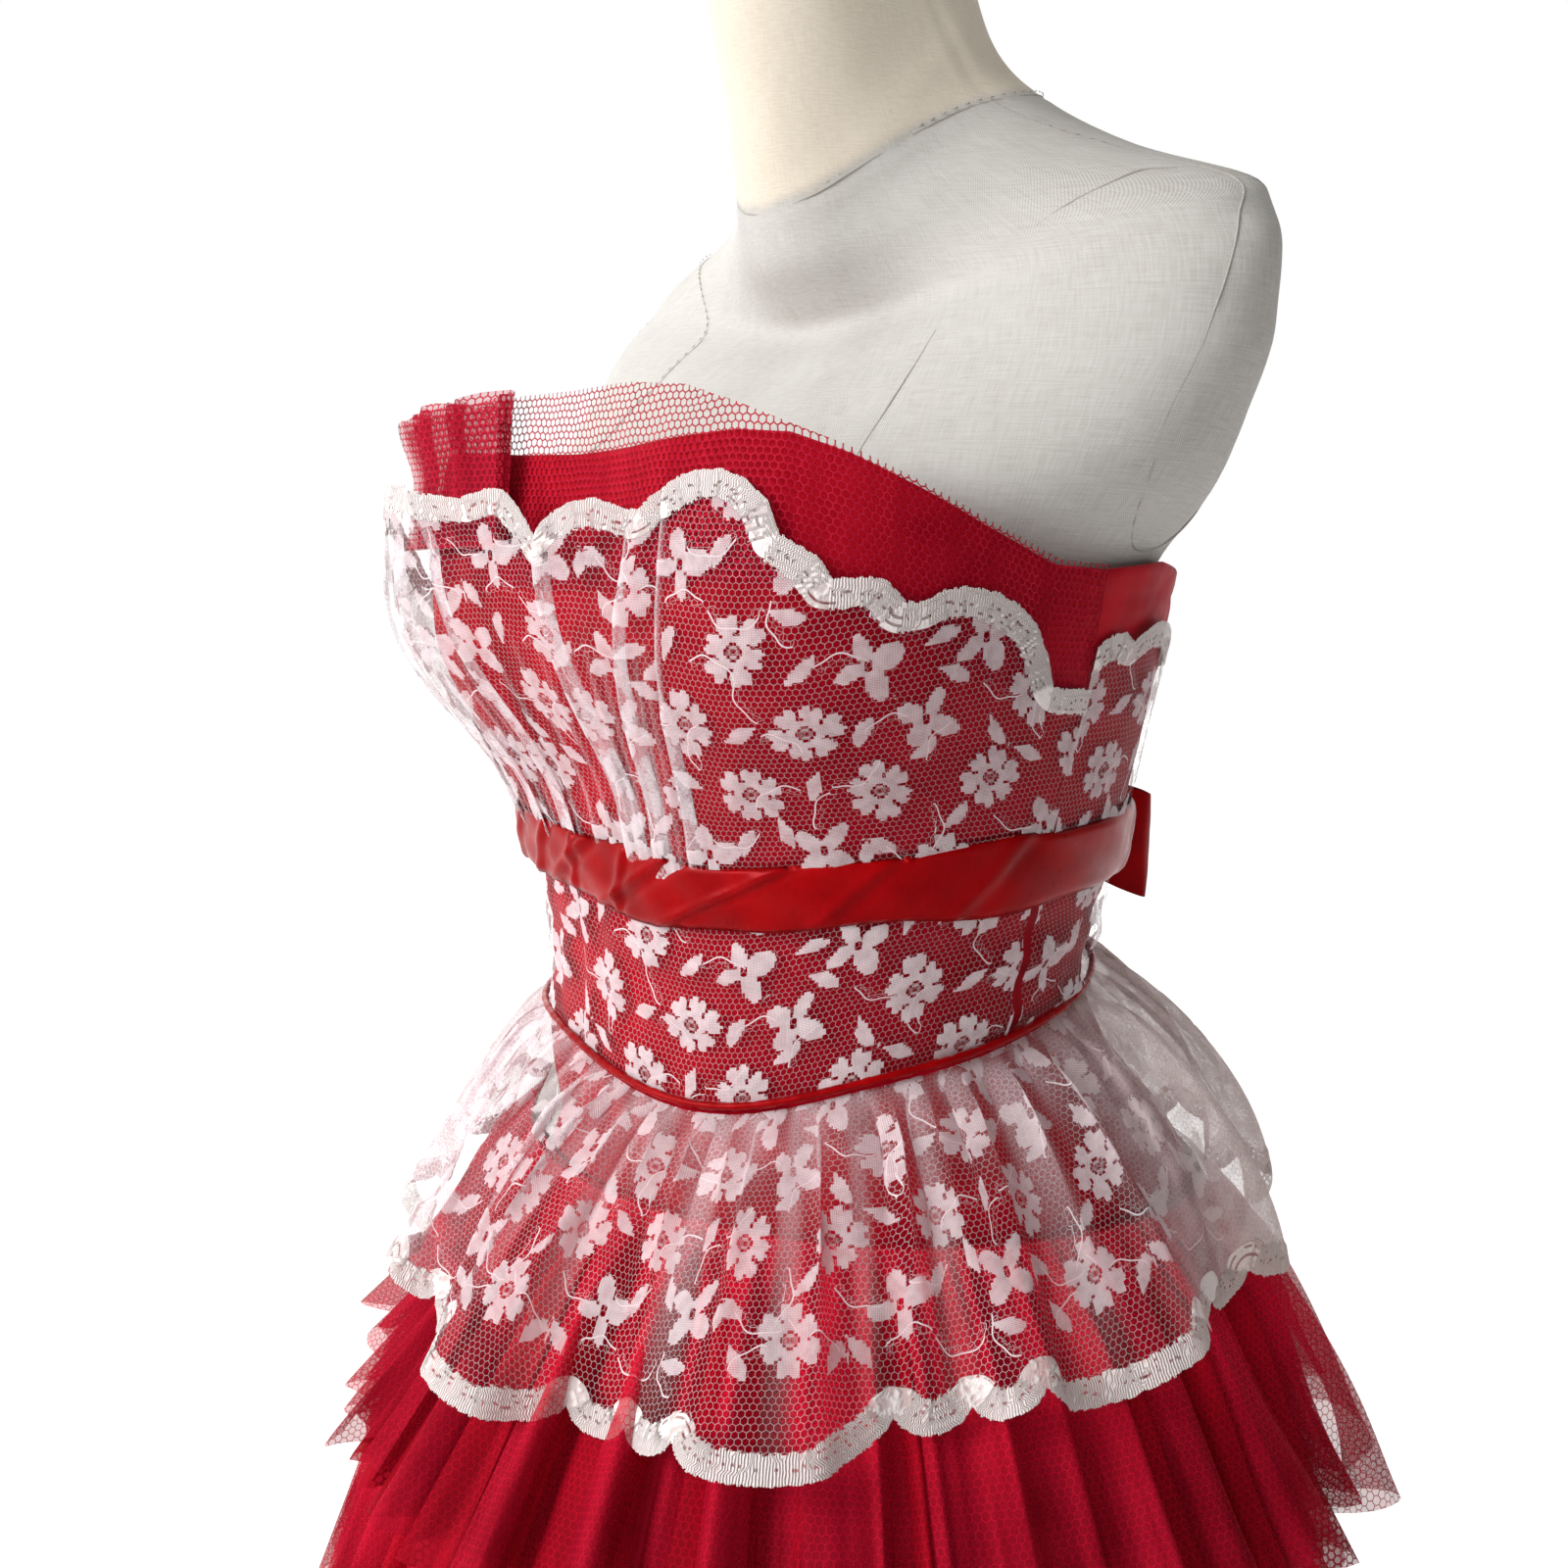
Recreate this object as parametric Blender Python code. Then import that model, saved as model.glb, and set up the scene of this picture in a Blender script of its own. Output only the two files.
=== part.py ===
# Strapless prom dress on a limbless dress form with a stand.
# Metres, +Z up. The front of the dress faces -Y, the wearer's left is +X.
# Heights in the tables are measured from the waist seam's mean level, angles from the front.
import bpy
import bmesh
import math
import numpy as np

for old in list(bpy.data.objects):
    bpy.data.objects.remove(old, do_unlink=True)

# ---------------------------------------------------------------- driving sizes
WAIST_Z = 1.040          # waist seam above the floor
SEAM_GAP = 0.0003        # between pieces that are sewn edge to edge
SATIN_IN, SATIN_OUT = -0.0042, -0.0026     # satin wall, measured from the lace's outer face
LACE_IN, LACE_OUT = -0.0010, 0.0000        # lace wall
RIBBON_IN, RIBBON_OUT = 0.0007, 0.0019     # ribbon wall
PIPING_R = 0.0022        # radius of the waist cord
RIBBON_W = 0.0240        # height of the ribbon at the front
SIDE_SEAM = math.radians(83.6)
PLEATS = 6               # soft pleats at the centre front of the lace
PLEAT_H = 0.0040         # how far a pleat stands out at the top edge
FULLNESS = 0.0140        # how far the pleated lace stands off the satin at its top
PEPLUM_DROP = 0.112      # waist seam to the peplum's hem, straight down
PEPLUM_FOLDS = 15
TIERS = 8
TIER_STEP = 0.080        # from one tier's hem to the next
TIER_TOP_HEM = -0.180    # first tier's hem
TIER_DROP = 0.115        # height of one tier
TIER_FLARE = 0.032       # how far a tier's hem stands off the skirt
TIER_FOLDS = 12
SKIRT_END = -0.700       # foundation's hem
BASE_R, BASE_H = 0.185, 0.022
POLE_R = 0.0125
FORM_END = -0.310

# z, half_width, front_depth, back_depth, centre_y, power
FORM = [
    (-0.310, 0.138, 0.092, 0.104, 0.000, 2.2),
    (-0.300, 0.147, 0.098, 0.111, 0.000, 2.2),
    (-0.230, 0.164, 0.110, 0.122, 0.000, 2.2),
    (-0.150, 0.156, 0.110, 0.115, 0.000, 2.2),
    (-0.080, 0.132, 0.101, 0.100, 0.000, 2.2),
    (-0.030, 0.108, 0.092, 0.086, 0.000, 2.2),
    (0.010, 0.104, 0.091, 0.084, 0.000, 2.2),
    (0.050, 0.114, 0.096, 0.089, 0.000, 2.2),
    (0.090, 0.124, 0.101, 0.094, 0.000, 2.2),
    (0.130, 0.130, 0.102, 0.095, 0.000, 2.2),
    (0.165, 0.1360, 0.0980, 0.0960, 0.0010, 2.15), (0.195, 0.1582, 0.0881, 0.0933, 0.0087, 2.1),
    (0.220, 0.1663, 0.0803, 0.0858, 0.0194, 2.0), (0.240, 0.1698, 0.0767, 0.0776, 0.0275, 2.0),
    (0.255, 0.1683, 0.0725, 0.0706, 0.0334, 2.0), (0.268, 0.1670, 0.0686, 0.0657, 0.0374, 2.0),
    (0.279, 0.1637, 0.0645, 0.0629, 0.0415, 2.0), (0.289, 0.1570, 0.0610, 0.0617, 0.0462, 2.0),
    (0.301, 0.1469, 0.0569, 0.0590, 0.0481, 2.0), (0.316, 0.1020, 0.0546, 0.0476, 0.0394, 2.0),
    (0.335, 0.0637, 0.0544, 0.0377, 0.0238, 2.0), (0.365, 0.0449, 0.0536, 0.0357, 0.0097, 2.0),
    (0.400, 0.0401, 0.0520, 0.0381, -0.0022, 2.0), (0.440, 0.0460, 0.0523, 0.0439, -0.0121, 2.0),
    (0.455, 0.0500, 0.0500, 0.0480, -0.0170, 2.0),
]
# The neck and shoulders lean: the front uses the sections from this much higher up
FORM_TILT = 0.0615
FORM_TOP = 0.455
FORM_BUST = dict(at=math.radians(38), z=0.128, height=0.028, wide=math.radians(21), low=0.038, high=0.038)

# z, half_width, front_depth, back_depth, centre_y, power
DRESS = [
    (-0.040, 0.1140, 0.1010, 0.0940, 0.0, 2.15),
    (0.000, 0.1125, 0.1000, 0.0930, 0.0, 2.15),
    (0.030, 0.1170, 0.1020, 0.0950, 0.0, 2.15),
    (0.061, 0.1250, 0.1060, 0.0990, 0.0, 2.15),
    (0.095, 0.1320, 0.1100, 0.1030, 0.0, 2.15),
    (0.130, 0.1390, 0.1140, 0.1060, 0.0, 2.15),
    (0.165, 0.1450, 0.1160, 0.1090, 0.0, 2.15),
    (0.200, 0.1500, 0.1170, 0.1120, 0.0, 2.15),
    (0.240, 0.1560, 0.1180, 0.1150, 0.0, 2.15),
]
DRESS_BUST = dict(at=math.radians(38), z=0.135, height=0.032, wide=math.radians(22), low=0.040, high=0.075)

# z, half_width, front_depth, back_depth, centre_y, power
SKIRT = [
    (-0.740, 0.2680, 0.2640, 0.2620, 0.0, 2.0),
    (-0.500, 0.2300, 0.2240, 0.2220, 0.0, 2.0),
    (-0.350, 0.2080, 0.2000, 0.1980, 0.0, 2.0),
    (-0.230, 0.1900, 0.1780, 0.1760, 0.0, 2.05),
    (-0.150, 0.1740, 0.1600, 0.1570, 0.0, 2.1),
    (-0.080, 0.1500, 0.1350, 0.1300, 0.0, 2.1),
    (-0.030, 0.1240, 0.1110, 0.1030, 0.0, 2.15),
    (0.000, 0.1125, 0.1000, 0.0930, 0.0, 2.15),
    (0.030, 0.1110, 0.0990, 0.0920, 0.0, 2.15),
]

# angle_deg, satin_top, net_top : the neckline on the front, which mirrors; then the back
NECKLINE = [
    (0.0, 0.1945, 0.2170),
    (14.0, 0.1955, 0.2175),
    (25.0, 0.1975, 0.2150),
    (33.0, 0.1990, 0.2085),
    (40.0, 0.1980, 0.2015),
    (47.0, 0.1917, 0.1945),
    (56.0, 0.1809, 0.1835),
    (63.5, 0.1715, 0.1740),
    (74.0, 0.1610, 0.1635),
    (83.6, 0.1605, 0.1630),
    (100.0, 0.1650, 0.1650),
    (112.0, 0.1635, 0.1635),
    (145.0, 0.1540, 0.1540),
    (180.0, 0.1500, 0.1500),
]

# angle_deg, lace_top : upper edge of the lace on the front, not mirrored
LACE_FRONT_TOP = [
    (-83.6, 0.1230), (-77.0, 0.1260), (-72.0, 0.1440), (-66.0, 0.1530), (-58.0, 0.1560),
    (-50.0, 0.1640), (-43.0, 0.1760), (-36.0, 0.1830), (-26.0, 0.1850), (-18.0, 0.1790),
    (-12.0, 0.1810), (-5.0, 0.1835), (2.0, 0.1690), (10.0, 0.1785), (18.0, 0.1770),
    (21.0, 0.1780), (25.0, 0.1860), (32.0, 0.1880), (38.5, 0.1780), (44.0, 0.1610),
    (49.0, 0.1545), (54.0, 0.1500), (61.0, 0.1540), (67.0, 0.1510), (72.0, 0.1420),
    (77.0, 0.1250), (83.6, 0.1220),
]
# angle_deg, lace_top : upper edge of the lace on the back, mirrored
LACE_BACK_TOP = [
    (83.6, 0.1375), (88.0, 0.1410), (92.0, 0.1396), (100.0, 0.1430), (108.0, 0.1450),
    (120.0, 0.1400), (135.0, 0.1420), (150.0, 0.1370), (165.0, 0.1390), (180.0, 0.1350),
]

# ---------------------------------------------------------------- curves and surfaces
def column(table, z, k):
    """Smooth curve through one column of a table, read at height z."""
    rows = sorted(table)
    zs = np.array([r[0] for r in rows])
    v = np.array([r[k] for r in rows])
    z = np.clip(z, zs[0], zs[-1])
    i = np.clip(np.searchsorted(zs, z) - 1, 0, len(zs) - 2)
    h = zs[i + 1] - zs[i]
    t = (z - zs[i]) / h
    m = np.gradient(v, zs)
    return ((2 * t**3 - 3 * t**2 + 1) * v[i] + (t**3 - 2 * t**2 + t) * h * m[i]
            + (-2 * t**3 + 3 * t**2) * v[i + 1] + (t**3 - t**2) * h * m[i + 1])


def lerp(table, deg, k=1, mirror=False):
    a = np.abs(deg) if mirror else deg
    return np.interp(a, [r[0] for r in table], [r[k] for r in table])


def oval(th, half, front, back, power):
    c, s = np.cos(th), np.abs(np.sin(th))
    depth = np.where(c > 0, front, back)
    return 1.0 / ((s / half)**power + (np.abs(c) / depth)**power)**(1.0 / power)


def bust(th, z, b):
    r = 0.0
    for side in (-1, 1):
        d = np.arctan2(np.sin(th - side * b['at']), np.cos(th - side * b['at'])) / b['wide']
        dz = z - b['z']
        e = dz / np.where(dz > 0, b['high'], b['low'])
        r = r + b['height'] * np.exp(-0.5 * (d * d + e * e))
    return r


def section(table, th, z):
    return oval(th, column(table, z, 1), column(table, z, 2), column(table, z, 3), column(table, z, 5))


def form_level(th, z):
    """The height in FORM whose section the form has at angle th and height z."""
    c = np.cos(th)
    return z + FORM_TILT * (0.80 * c + 0.20 * np.sqrt(c * c + 0.03)) * smooth01((z - 0.185) / 0.100)


def form_point(th, z):
    e = form_level(th, z)
    r = section(FORM, th, e) + bust(th, z, FORM_BUST)
    return np.stack([r * np.sin(th), column(FORM, e, 4) - r * np.cos(th), WAIST_Z + z + 0 * r], -1)


def dress_r(th, z):
    return section(DRESS, th, z) + bust(th, z, DRESS_BUST)




def point(r, th, z):
    return np.stack([r * np.sin(th), -r * np.cos(th), WAIST_Z + z + 0 * r], -1)


def smooth01(x):
    x = np.clip(x, 0, 1)
    return x * x * (3 - 2 * x)


def wrap(th):
    return np.arctan2(np.sin(th), np.cos(th))


def sway(th):
    """The belt lines dip a little to the wearer's left of the centre front."""
    t = wrap(th)
    return np.sin(3 * t) * np.exp(-(t / math.radians(55))**4)


def waist_z(th):
    return -0.026 * np.cos(th) - 0.0065 * sway(th)


def skirt_r(th, z):
    """The skirt's section; near the waist its heights follow the tilted seam."""
    return section(SKIRT, th, z - waist_z(th) * (1 - smooth01(-z / 0.22)))


def ribbon_mid(th):
    return 0.0605 - 0.013 * np.cos(th) - 0.004 * sway(th)


def ribbon_w(th):
    return RIBBON_W + 0.004 * (0.5 - 0.5 * np.cos(th))


def pleat_angle(u, z):
    """Angle of the pleat line u (-1 to 1): the lines run together towards the ribbon."""
    k = smooth01((z - 0.060) / 0.120)
    mid = math.radians(-3.0) * (1 - k) + math.radians(-6.5) * k
    half = math.radians(19.5) * (1 - k) + math.radians(33.0) * k
    return mid + half * u


def lace_stand(th, z):
    """How far the lace of the centre front stands off the satin."""
    k = smooth01((z - 0.074) / 0.088)
    d = np.degrees(wrap(th))
    side = smooth01((d + 62) / 24) * (1 - smooth01((d - 2) / 24))
    return FULLNESS * k * side


# ---------------------------------------------------------------- solids
def material(name, color, rough, metal=0.0):
    m = bpy.data.materials.new(name)
    m.use_nodes = True
    b = m.node_tree.nodes["Principled BSDF"]
    b.inputs["Base Color"].default_value = (*color, 1.0)
    b.inputs["Roughness"].default_value = rough
    b.inputs["Metallic"].default_value = metal
    m.diffuse_color = (*color, 1.0)
    return m


def solid(name, verts, faces, color, rough, metal=0.0):
    me = bpy.data.meshes.new(name)
    me.from_pydata([tuple(float(c) for c in v) for v in verts], [], faces)
    me.validate()
    bm = bmesh.new()
    bm.from_mesh(me)
    bmesh.ops.recalc_face_normals(bm, faces=bm.faces)
    bm.to_mesh(me)
    bm.free()
    me.shade_smooth()
    me.set_sharp_from_angle(angle=math.radians(45))
    ob = bpy.data.objects.new(name, me)
    bpy.context.scene.collection.objects.link(ob)
    me.materials.append(material(name + "_mat", color, rough, metal))
    return ob


def wall(name, inner, outer, closed, color, rough):
    """A cloth wall between two grids of points [column, row, xyz]."""
    n, m = outer.shape[:2]
    verts = list(outer.reshape(-1, 3)) + list(inner.reshape(-1, 3))

    def o(i, j):
        return (i % n) * m + j

    def q(i, j):
        return n * m + (i % n) * m + j

    faces = []
    last = n if closed else n - 1
    for i in range(last):
        for j in range(m - 1):
            a, b, c, d = o(i, j), o(i + 1, j), o(i + 1, j + 1), o(i, j + 1)
            faces += [(a, b, c), (a, c, d)]
            a, b, c, d = q(i, j), q(i + 1, j), q(i + 1, j + 1), q(i, j + 1)
            faces += [(a, c, b), (a, d, c)]
        faces.append((o(i, 0), q(i, 0), q(i + 1, 0), o(i + 1, 0)))
        faces.append((o(i, m - 1), o(i + 1, m - 1), q(i + 1, m - 1), q(i, m - 1)))
    if not closed:
        for j in range(m - 1):
            faces.append((o(0, j), o(0, j + 1), q(0, j + 1), q(0, j)))
            faces.append((o(n - 1, j), q(n - 1, j), q(n - 1, j + 1), o(n - 1, j + 1)))
    return solid(name, verts, faces, color, rough)


def panel(name, angles, z_low, z_high, rows, stand, lo, hi, closed, color, rough):
    """A panel on the dress: angles is an array, or a function of height that gives one."""
    grids = []
    v = np.linspace(0, 1, rows)
    for off in (lo, hi):
        th = np.asarray(angles)[:, None] + 0 * v[None, :]
        z = z_low(th) * (1 - v) + z_high(th) * v
        r = dress_r(th, z) + stand(th, z) + off
        grids.append(point(r, th, z))
    return wall(name, grids[0], grids[1], closed, color, rough)


def tube(name, path, radius, sides, color, rough):
    """A closed ring of round section along a closed path [n, xyz]."""
    n = len(path)
    verts, faces = [], []
    for i in range(n):
        t = path[(i + 1) % n] - path[i - 1]
        t /= np.linalg.norm(t)
        side = np.cross(t, [0, 0, 1.0])
        side /= np.linalg.norm(side)
        up = np.cross(side, t)
        for k in range(sides):
            a = 2 * math.pi * (k + 0.5) / sides
            verts.append(path[i] + radius * (math.cos(a) * side + math.sin(a) * up))
    for i in range(n):
        for k in range(sides):
            a, b = i * sides + k, i * sides + (k + 1) % sides
            c, d = ((i + 1) % n) * sides + (k + 1) % sides, ((i + 1) % n) * sides + k
            faces.append((a, b, c, d))
    return solid(name, verts, faces, color, rough)


def turned(name, profile, sides, color, rough, metal=0.0):
    """A solid of revolution from (radius, z) pairs, first and last on the axis."""
    verts, faces = [], []
    for r, z in profile[1:-1]:
        for k in range(sides):
            a = 2 * math.pi * k / sides
            verts.append((r * math.cos(a), r * math.sin(a), z))
    rings = len(profile) - 2
    for i in range(rings - 1):
        for k in range(sides):
            a, b = i * sides + k, i * sides + (k + 1) % sides
            faces.append((a, b, b + sides, a + sides))
    faces.append(tuple(range(sides)))
    faces.append(tuple(reversed(range((rings - 1) * sides, rings * sides))))
    return solid(name, verts, faces, color, rough, metal)


RED_SATIN = (0.62, 0.012, 0.018)
RED_NET = (0.50, 0.008, 0.020)
LACE = (0.80, 0.58, 0.56)
LINEN = (0.60, 0.55, 0.48)


def flat_zero(th, z):
    return 0.0 * th


# ---------------------------------------------------------------- form and stand
FORM_SIDES = 36
heights = [r[0] for r in FORM if r[0] < 0.17] + [0.190, 0.207, 0.222, 0.237, 0.250, 0.262, 0.274, 0.286, 0.298, 0.310, 0.322, 0.335, 0.350,
                                                0.367, 0.387, 0.412, FORM_TOP]
th = np.linspace(0, 2 * math.pi, FORM_SIDES, endpoint=False)
rings = np.array([form_point(th, np.full_like(th, z)) for z in heights])
verts = list(rings.reshape(-1, 3))
faces = []
for i in range(len(heights) - 1):
    for k in range(FORM_SIDES):
        a, b = i * FORM_SIDES + k, i * FORM_SIDES + (k + 1) % FORM_SIDES
        faces.append((a, b, b + FORM_SIDES, a + FORM_SIDES))
faces.append(tuple(reversed(range(FORM_SIDES))))
faces.append(tuple(range((len(heights) - 1) * FORM_SIDES, len(heights) * FORM_SIDES)))
solid("form_body", verts, faces, LINEN, 0.9)

bottom = WAIST_Z + FORM_END
turned("stand_pole", [(0, BASE_H + SEAM_GAP), (POLE_R, BASE_H + SEAM_GAP), (POLE_R, bottom - SEAM_GAP), (0, bottom - SEAM_GAP)],
       20, (0.55, 0.55, 0.56), 0.3, 1.0)
turned("stand_base", [(0, 0), (BASE_R - 0.002, 0), (BASE_R, 0.002), (BASE_R, 0.008), (BASE_R - 0.004, 0.011),
                      (0.060, 0.0145), (0.030, BASE_H - 0.002), (0.026, BASE_H), (0, BASE_H)], 48, (0.05, 0.05, 0.055), 0.5, 0.6)

# ---------------------------------------------------------------- bodice
STEP = 6.0               # one column every 6 degrees, shared by all pieces so that their facets match
SEAM_A = 0.08            # half the gap at a side seam, degrees
front = np.radians(np.concatenate([[-83.6 + SEAM_A], np.arange(-78, 79, STEP), [83.6 - SEAM_A]]))
back = np.radians(np.concatenate([[83.6 + SEAM_A], np.arange(90, 271, STEP), [276.4 - SEAM_A]]))


def satin_top(th):
    return lerp(NECKLINE, np.degrees(np.abs(wrap(th))), 1)


def seam_low(th):
    return waist_z(th) + SEAM_GAP


panel("satin_front", front, seam_low, satin_top, 8, flat_zero, SATIN_IN, SATIN_OUT, False, RED_SATIN, 0.35)
panel("satin_back", back, seam_low, satin_top, 6, flat_zero, SATIN_IN, SATIN_OUT, False, RED_SATIN, 0.35)


def ribbon_top(th):
    return ribbon_mid(th) + ribbon_w(th) / 2


def ribbon_low(th):
    return ribbon_mid(th) - ribbon_w(th) / 2


# Upper lace: its columns follow the pleat lines on the centre front.
def lace_front_grid(off, rows=8):
    u = np.linspace(-1, 1, 2 * PLEATS + 1)
    v = np.linspace(0, 1, rows)
    cols = []
    ways = [("right", f) for f in np.linspace(0, 1, 8)[:-1]] + [("pleat", k) for k in u] + [("left", f) for f in np.linspace(0, 1, 10)[1:]]
    for kind, f in ways:
        z = np.zeros(rows)
        a = np.zeros(rows)
        for step in range(4):
            if kind == "pleat":
                a = pleat_angle(f, z if step else np.full(rows, 0.12))
            elif kind == "right":
                edge = pleat_angle(-1.0, z if step else np.full(rows, 0.12))
                a = -SIDE_SEAM + 0.0014 + (edge + SIDE_SEAM - 0.0014) * f
            else:
                edge = pleat_angle(1.0, z if step else np.full(rows, 0.12))
                a = edge + (SIDE_SEAM - 0.0014 - edge) * f
            low = ribbon_mid(a)
            high = lerp(LACE_FRONT_TOP, np.degrees(a), 1)
            z = low * (1 - v) + high * v
        r = dress_r(a, z) + lace_stand(a, z) + off
        if kind == "pleat":
            ridge = 0.5 - 0.5 * math.cos(math.pi * PLEATS * (f + 1))
            r = r + PLEAT_H * ridge * smooth01((z - 0.074) / 0.095) * (1 - 0.55 * smooth01((f - 0.2) / 0.8))
        cols.append(point(r, a, z))
    return np.array(cols)


wall("lace_bodice_front", lace_front_grid(LACE_IN), lace_front_grid(LACE_OUT), False, LACE, 0.9)


def lace_back_top(th):
    return lerp(LACE_BACK_TOP, np.degrees(np.abs(wrap(th))), 1)


panel("lace_bodice_back", back, lambda t: ribbon_mid(t), lace_back_top, 5, flat_zero, LACE_IN, LACE_OUT, False, LACE, 0.9)

# The lace leaves a narrow opening over the satin at the left side seam.
mid_front, mid_back = front.copy(), back.copy()
mid_front[-1] = math.radians(82.6)
mid_back[0] = math.radians(84.6)
for name, cols in (("lace_midriff_front", mid_front), ("lace_midriff_back", mid_back)):
    panel(name, cols, lambda t: waist_z(t) + 0.0002, lambda t: ribbon_mid(t) - SEAM_GAP * 2, 4, flat_zero, LACE_IN, LACE_OUT, False, LACE, 0.9)

# ---------------------------------------------------------------- ribbon, bow and piping
ring = np.radians(np.arange(0, 360, STEP))
panel("ribbon_sash", ring, ribbon_low, ribbon_top, 2, flat_zero, RIBBON_IN, RIBBON_OUT, True, RED_SATIN, 0.3)

z = waist_z(ring)
tube("waist_piping", point(dress_r(ring, z) + PIPING_R + 0.0006, ring, z), PIPING_R, 5, RED_SATIN, 0.35)

# Bow at the centre back, on the ribbon.
BOW_Z = float(ribbon_mid(math.pi))
BOW_Y = float(dress_r(np.array(math.pi), np.array(BOW_Z))) + RIBBON_OUT
KNOT = dict(w=0.020, h=0.026, d=0.014)
# along, depth, height : the loop's centre line from the knot out and back
LOOP = [(0.0105, 0.0040, 0.016), (0.030, 0.0030, 0.034), (0.052, 0.0045, 0.042), (0.070, 0.0110, 0.044),
        (0.076, 0.0180, 0.044), (0.068, 0.0235, 0.042), (0.048, 0.0215, 0.036), (0.026, 0.0155, 0.026), (0.0105, 0.0110, 0.016)]


def strip(name, rows, side, thick, color, rough):
    """A ribbon strip from rows of (along, depth, height, rise), with a wall of the given thickness."""
    pts = np.array([(r[0], r[1]) for r in rows])
    tan = np.gradient(pts, axis=0)
    tan /= np.linalg.norm(tan, axis=1)[:, None]
    nor = np.stack([-tan[:, 1], tan[:, 0]], -1) * thick / 2
    outer, inner = [], []
    for i, r in enumerate(rows):
        rise = r[3] if len(r) > 3 else 0.0
        for grid, sgn in ((outer, 1), (inner, -1)):
            p = pts[i] + sgn * nor[i]
            grid.append([(side * p[0], BOW_Y + p[1], WAIST_Z + BOW_Z + rise + f * r[2] / 2) for f in (-1, 0, 1)])
    return wall(name, np.array(inner), np.array(outer), False, color, rough)


for side, tag in ((1, "left"), (-1, "right")):
    strip("bow_loop_" + tag, LOOP, side, 0.0012, RED_SATIN, 0.3)

n = 12
prof = []
for k in range(n):
    a = 2 * math.pi * (k + 0.5) / n
    prof.append((KNOT['w'] / 2 * math.cos(a) * 1.0, KNOT['d'] / 2 * math.sin(a)))
verts, faces = [], []
for f, s in ((-0.5, 0.80), (-0.2, 1.0), (0.2, 1.0), (0.5, 0.80)):
    for x, y in prof:
        verts.append((x * s, BOW_Y + 0.0006 + KNOT['d'] / 2 + y * s, WAIST_Z + BOW_Z + f * KNOT['h']))
for i in range(3):
    for k in range(n):
        faces.append((i * n + k, i * n + (k + 1) % n, (i + 1) * n + (k + 1) % n, (i + 1) * n + k))
faces.append(tuple(reversed(range(n))))
faces.append(tuple(range(3 * n, 4 * n)))
solid("bow_knot", verts, faces, RED_SATIN, 0.3)

# ---------------------------------------------------------------- net at the neckline
def net_low(th):
    return satin_top(th) - 0.0110


def net_top(th):
    return lerp(NECKLINE, np.degrees(np.abs(wrap(th))), 2)


net_cols = front
panel("net_frill", net_cols, net_low, net_top, 3, flat_zero, LACE_IN - 0.0002, LACE_OUT, False, RED_NET, 0.8)

# Pleated net that stands up beside the centre front, between the satin and the lace.
fan = []
for off in (0.0, 0.0014):
    cols = []
    for k in range(13):
        u = k / 12.0
        low_a, top_a = math.radians(-41 + 30 * u), math.radians(-40 + 27 * u)
        v = np.linspace(0, 1, 4)
        a = low_a * (1 - v) + top_a * v
        z = (0.1620 * (1 - v) + (0.2105 + 0.0065 * u) * v)
        zig = 0.0016 * (1 if k % 2 else -1)
        reach = 0.0060 + 0.0105 * smooth01((z - 0.186) / 0.028) * (1 - u)**0.5
        cols.append(point(dress_r(a, z) + reach + zig + off, a, z))
    fan.append(np.array(cols))
wall("net_pleats", fan[0], fan[1], False, RED_NET, 0.8)

# ---------------------------------------------------------------- peplum
def peplum_point(th, s, off):
    """s runs from the waist seam (0) to the hem (1)."""
    z0 = waist_z(th) - 0.0034
    drop = PEPLUM_DROP + 0.010 * (0.5 - 0.5 * np.cos(2 * th))
    z = z0 - drop * (0.92 * s + 0.08 * s * s)
    start = dress_r(th, z0)
    end = oval(th, 0.208, 0.202, 0.196, 2.0)
    fold = 0.0115 * s**1.3 * np.cos(PEPLUM_FOLDS * th + 0.7 * np.sin(2 * th) + 0.4)
    r = start + (end - start) * (1.25 * s - 0.25 * s * s) + fold + off
    return point(r, th, z)


cols = np.linspace(0, 2 * math.pi, 5 * PEPLUM_FOLDS, endpoint=False)
s = np.array([0.0, 0.25, 0.6, 1.0])
wall("lace_peplum", peplum_point(cols[:, None], s[None, :], 0.0), peplum_point(cols[:, None], s[None, :], 0.0012), True, LACE, 0.9)

# ---------------------------------------------------------------- skirt
# Foundation: a hip yoke and two flared bands, sewn edge to edge, which carry the tiers.
BANDS = (("skirt_yoke", None, -0.150, 4), ("skirt_middle", -0.150, -0.420, 3), ("skirt_lower", -0.420, SKIRT_END, 3))
for name, top, end, rows in BANDS:
    v = np.linspace(0, 1, rows)[None, :]
    z_top = (waist_z(ring) if top is None else top + 0 * ring)[:, None] - SEAM_GAP
    zz = z_top + (end - z_top) * v
    tt = ring[:, None] + 0 * zz
    deeper = 0.0005 * smooth01((z_top - zz) / 0.08) if top is None else 0.0005
    grids = [point(skirt_r(tt, zz) + off - deeper, tt, zz) for off in (SATIN_IN, SATIN_OUT)]
    wall(name, grids[0], grids[1], True, RED_SATIN, 0.5)


def tier_point(k, th, s, off):
    hem = TIER_TOP_HEM - TIER_STEP * k
    top = hem + TIER_DROP
    phase = 1.9 * k
    z = top + (hem - top) * s + 0.004 * s * np.cos(5 * th + phase)
    fold = (0.0035 * s + 0.0035 * s * s) * np.cos(TIER_FOLDS * th + phase + 0.8 * np.sin(3 * th + k))
    flare = -0.0010 + TIER_FLARE * (0.80 * s + 0.20 * s * s)
    return point(skirt_r(th, z) + flare + fold + off, th, z)


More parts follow.
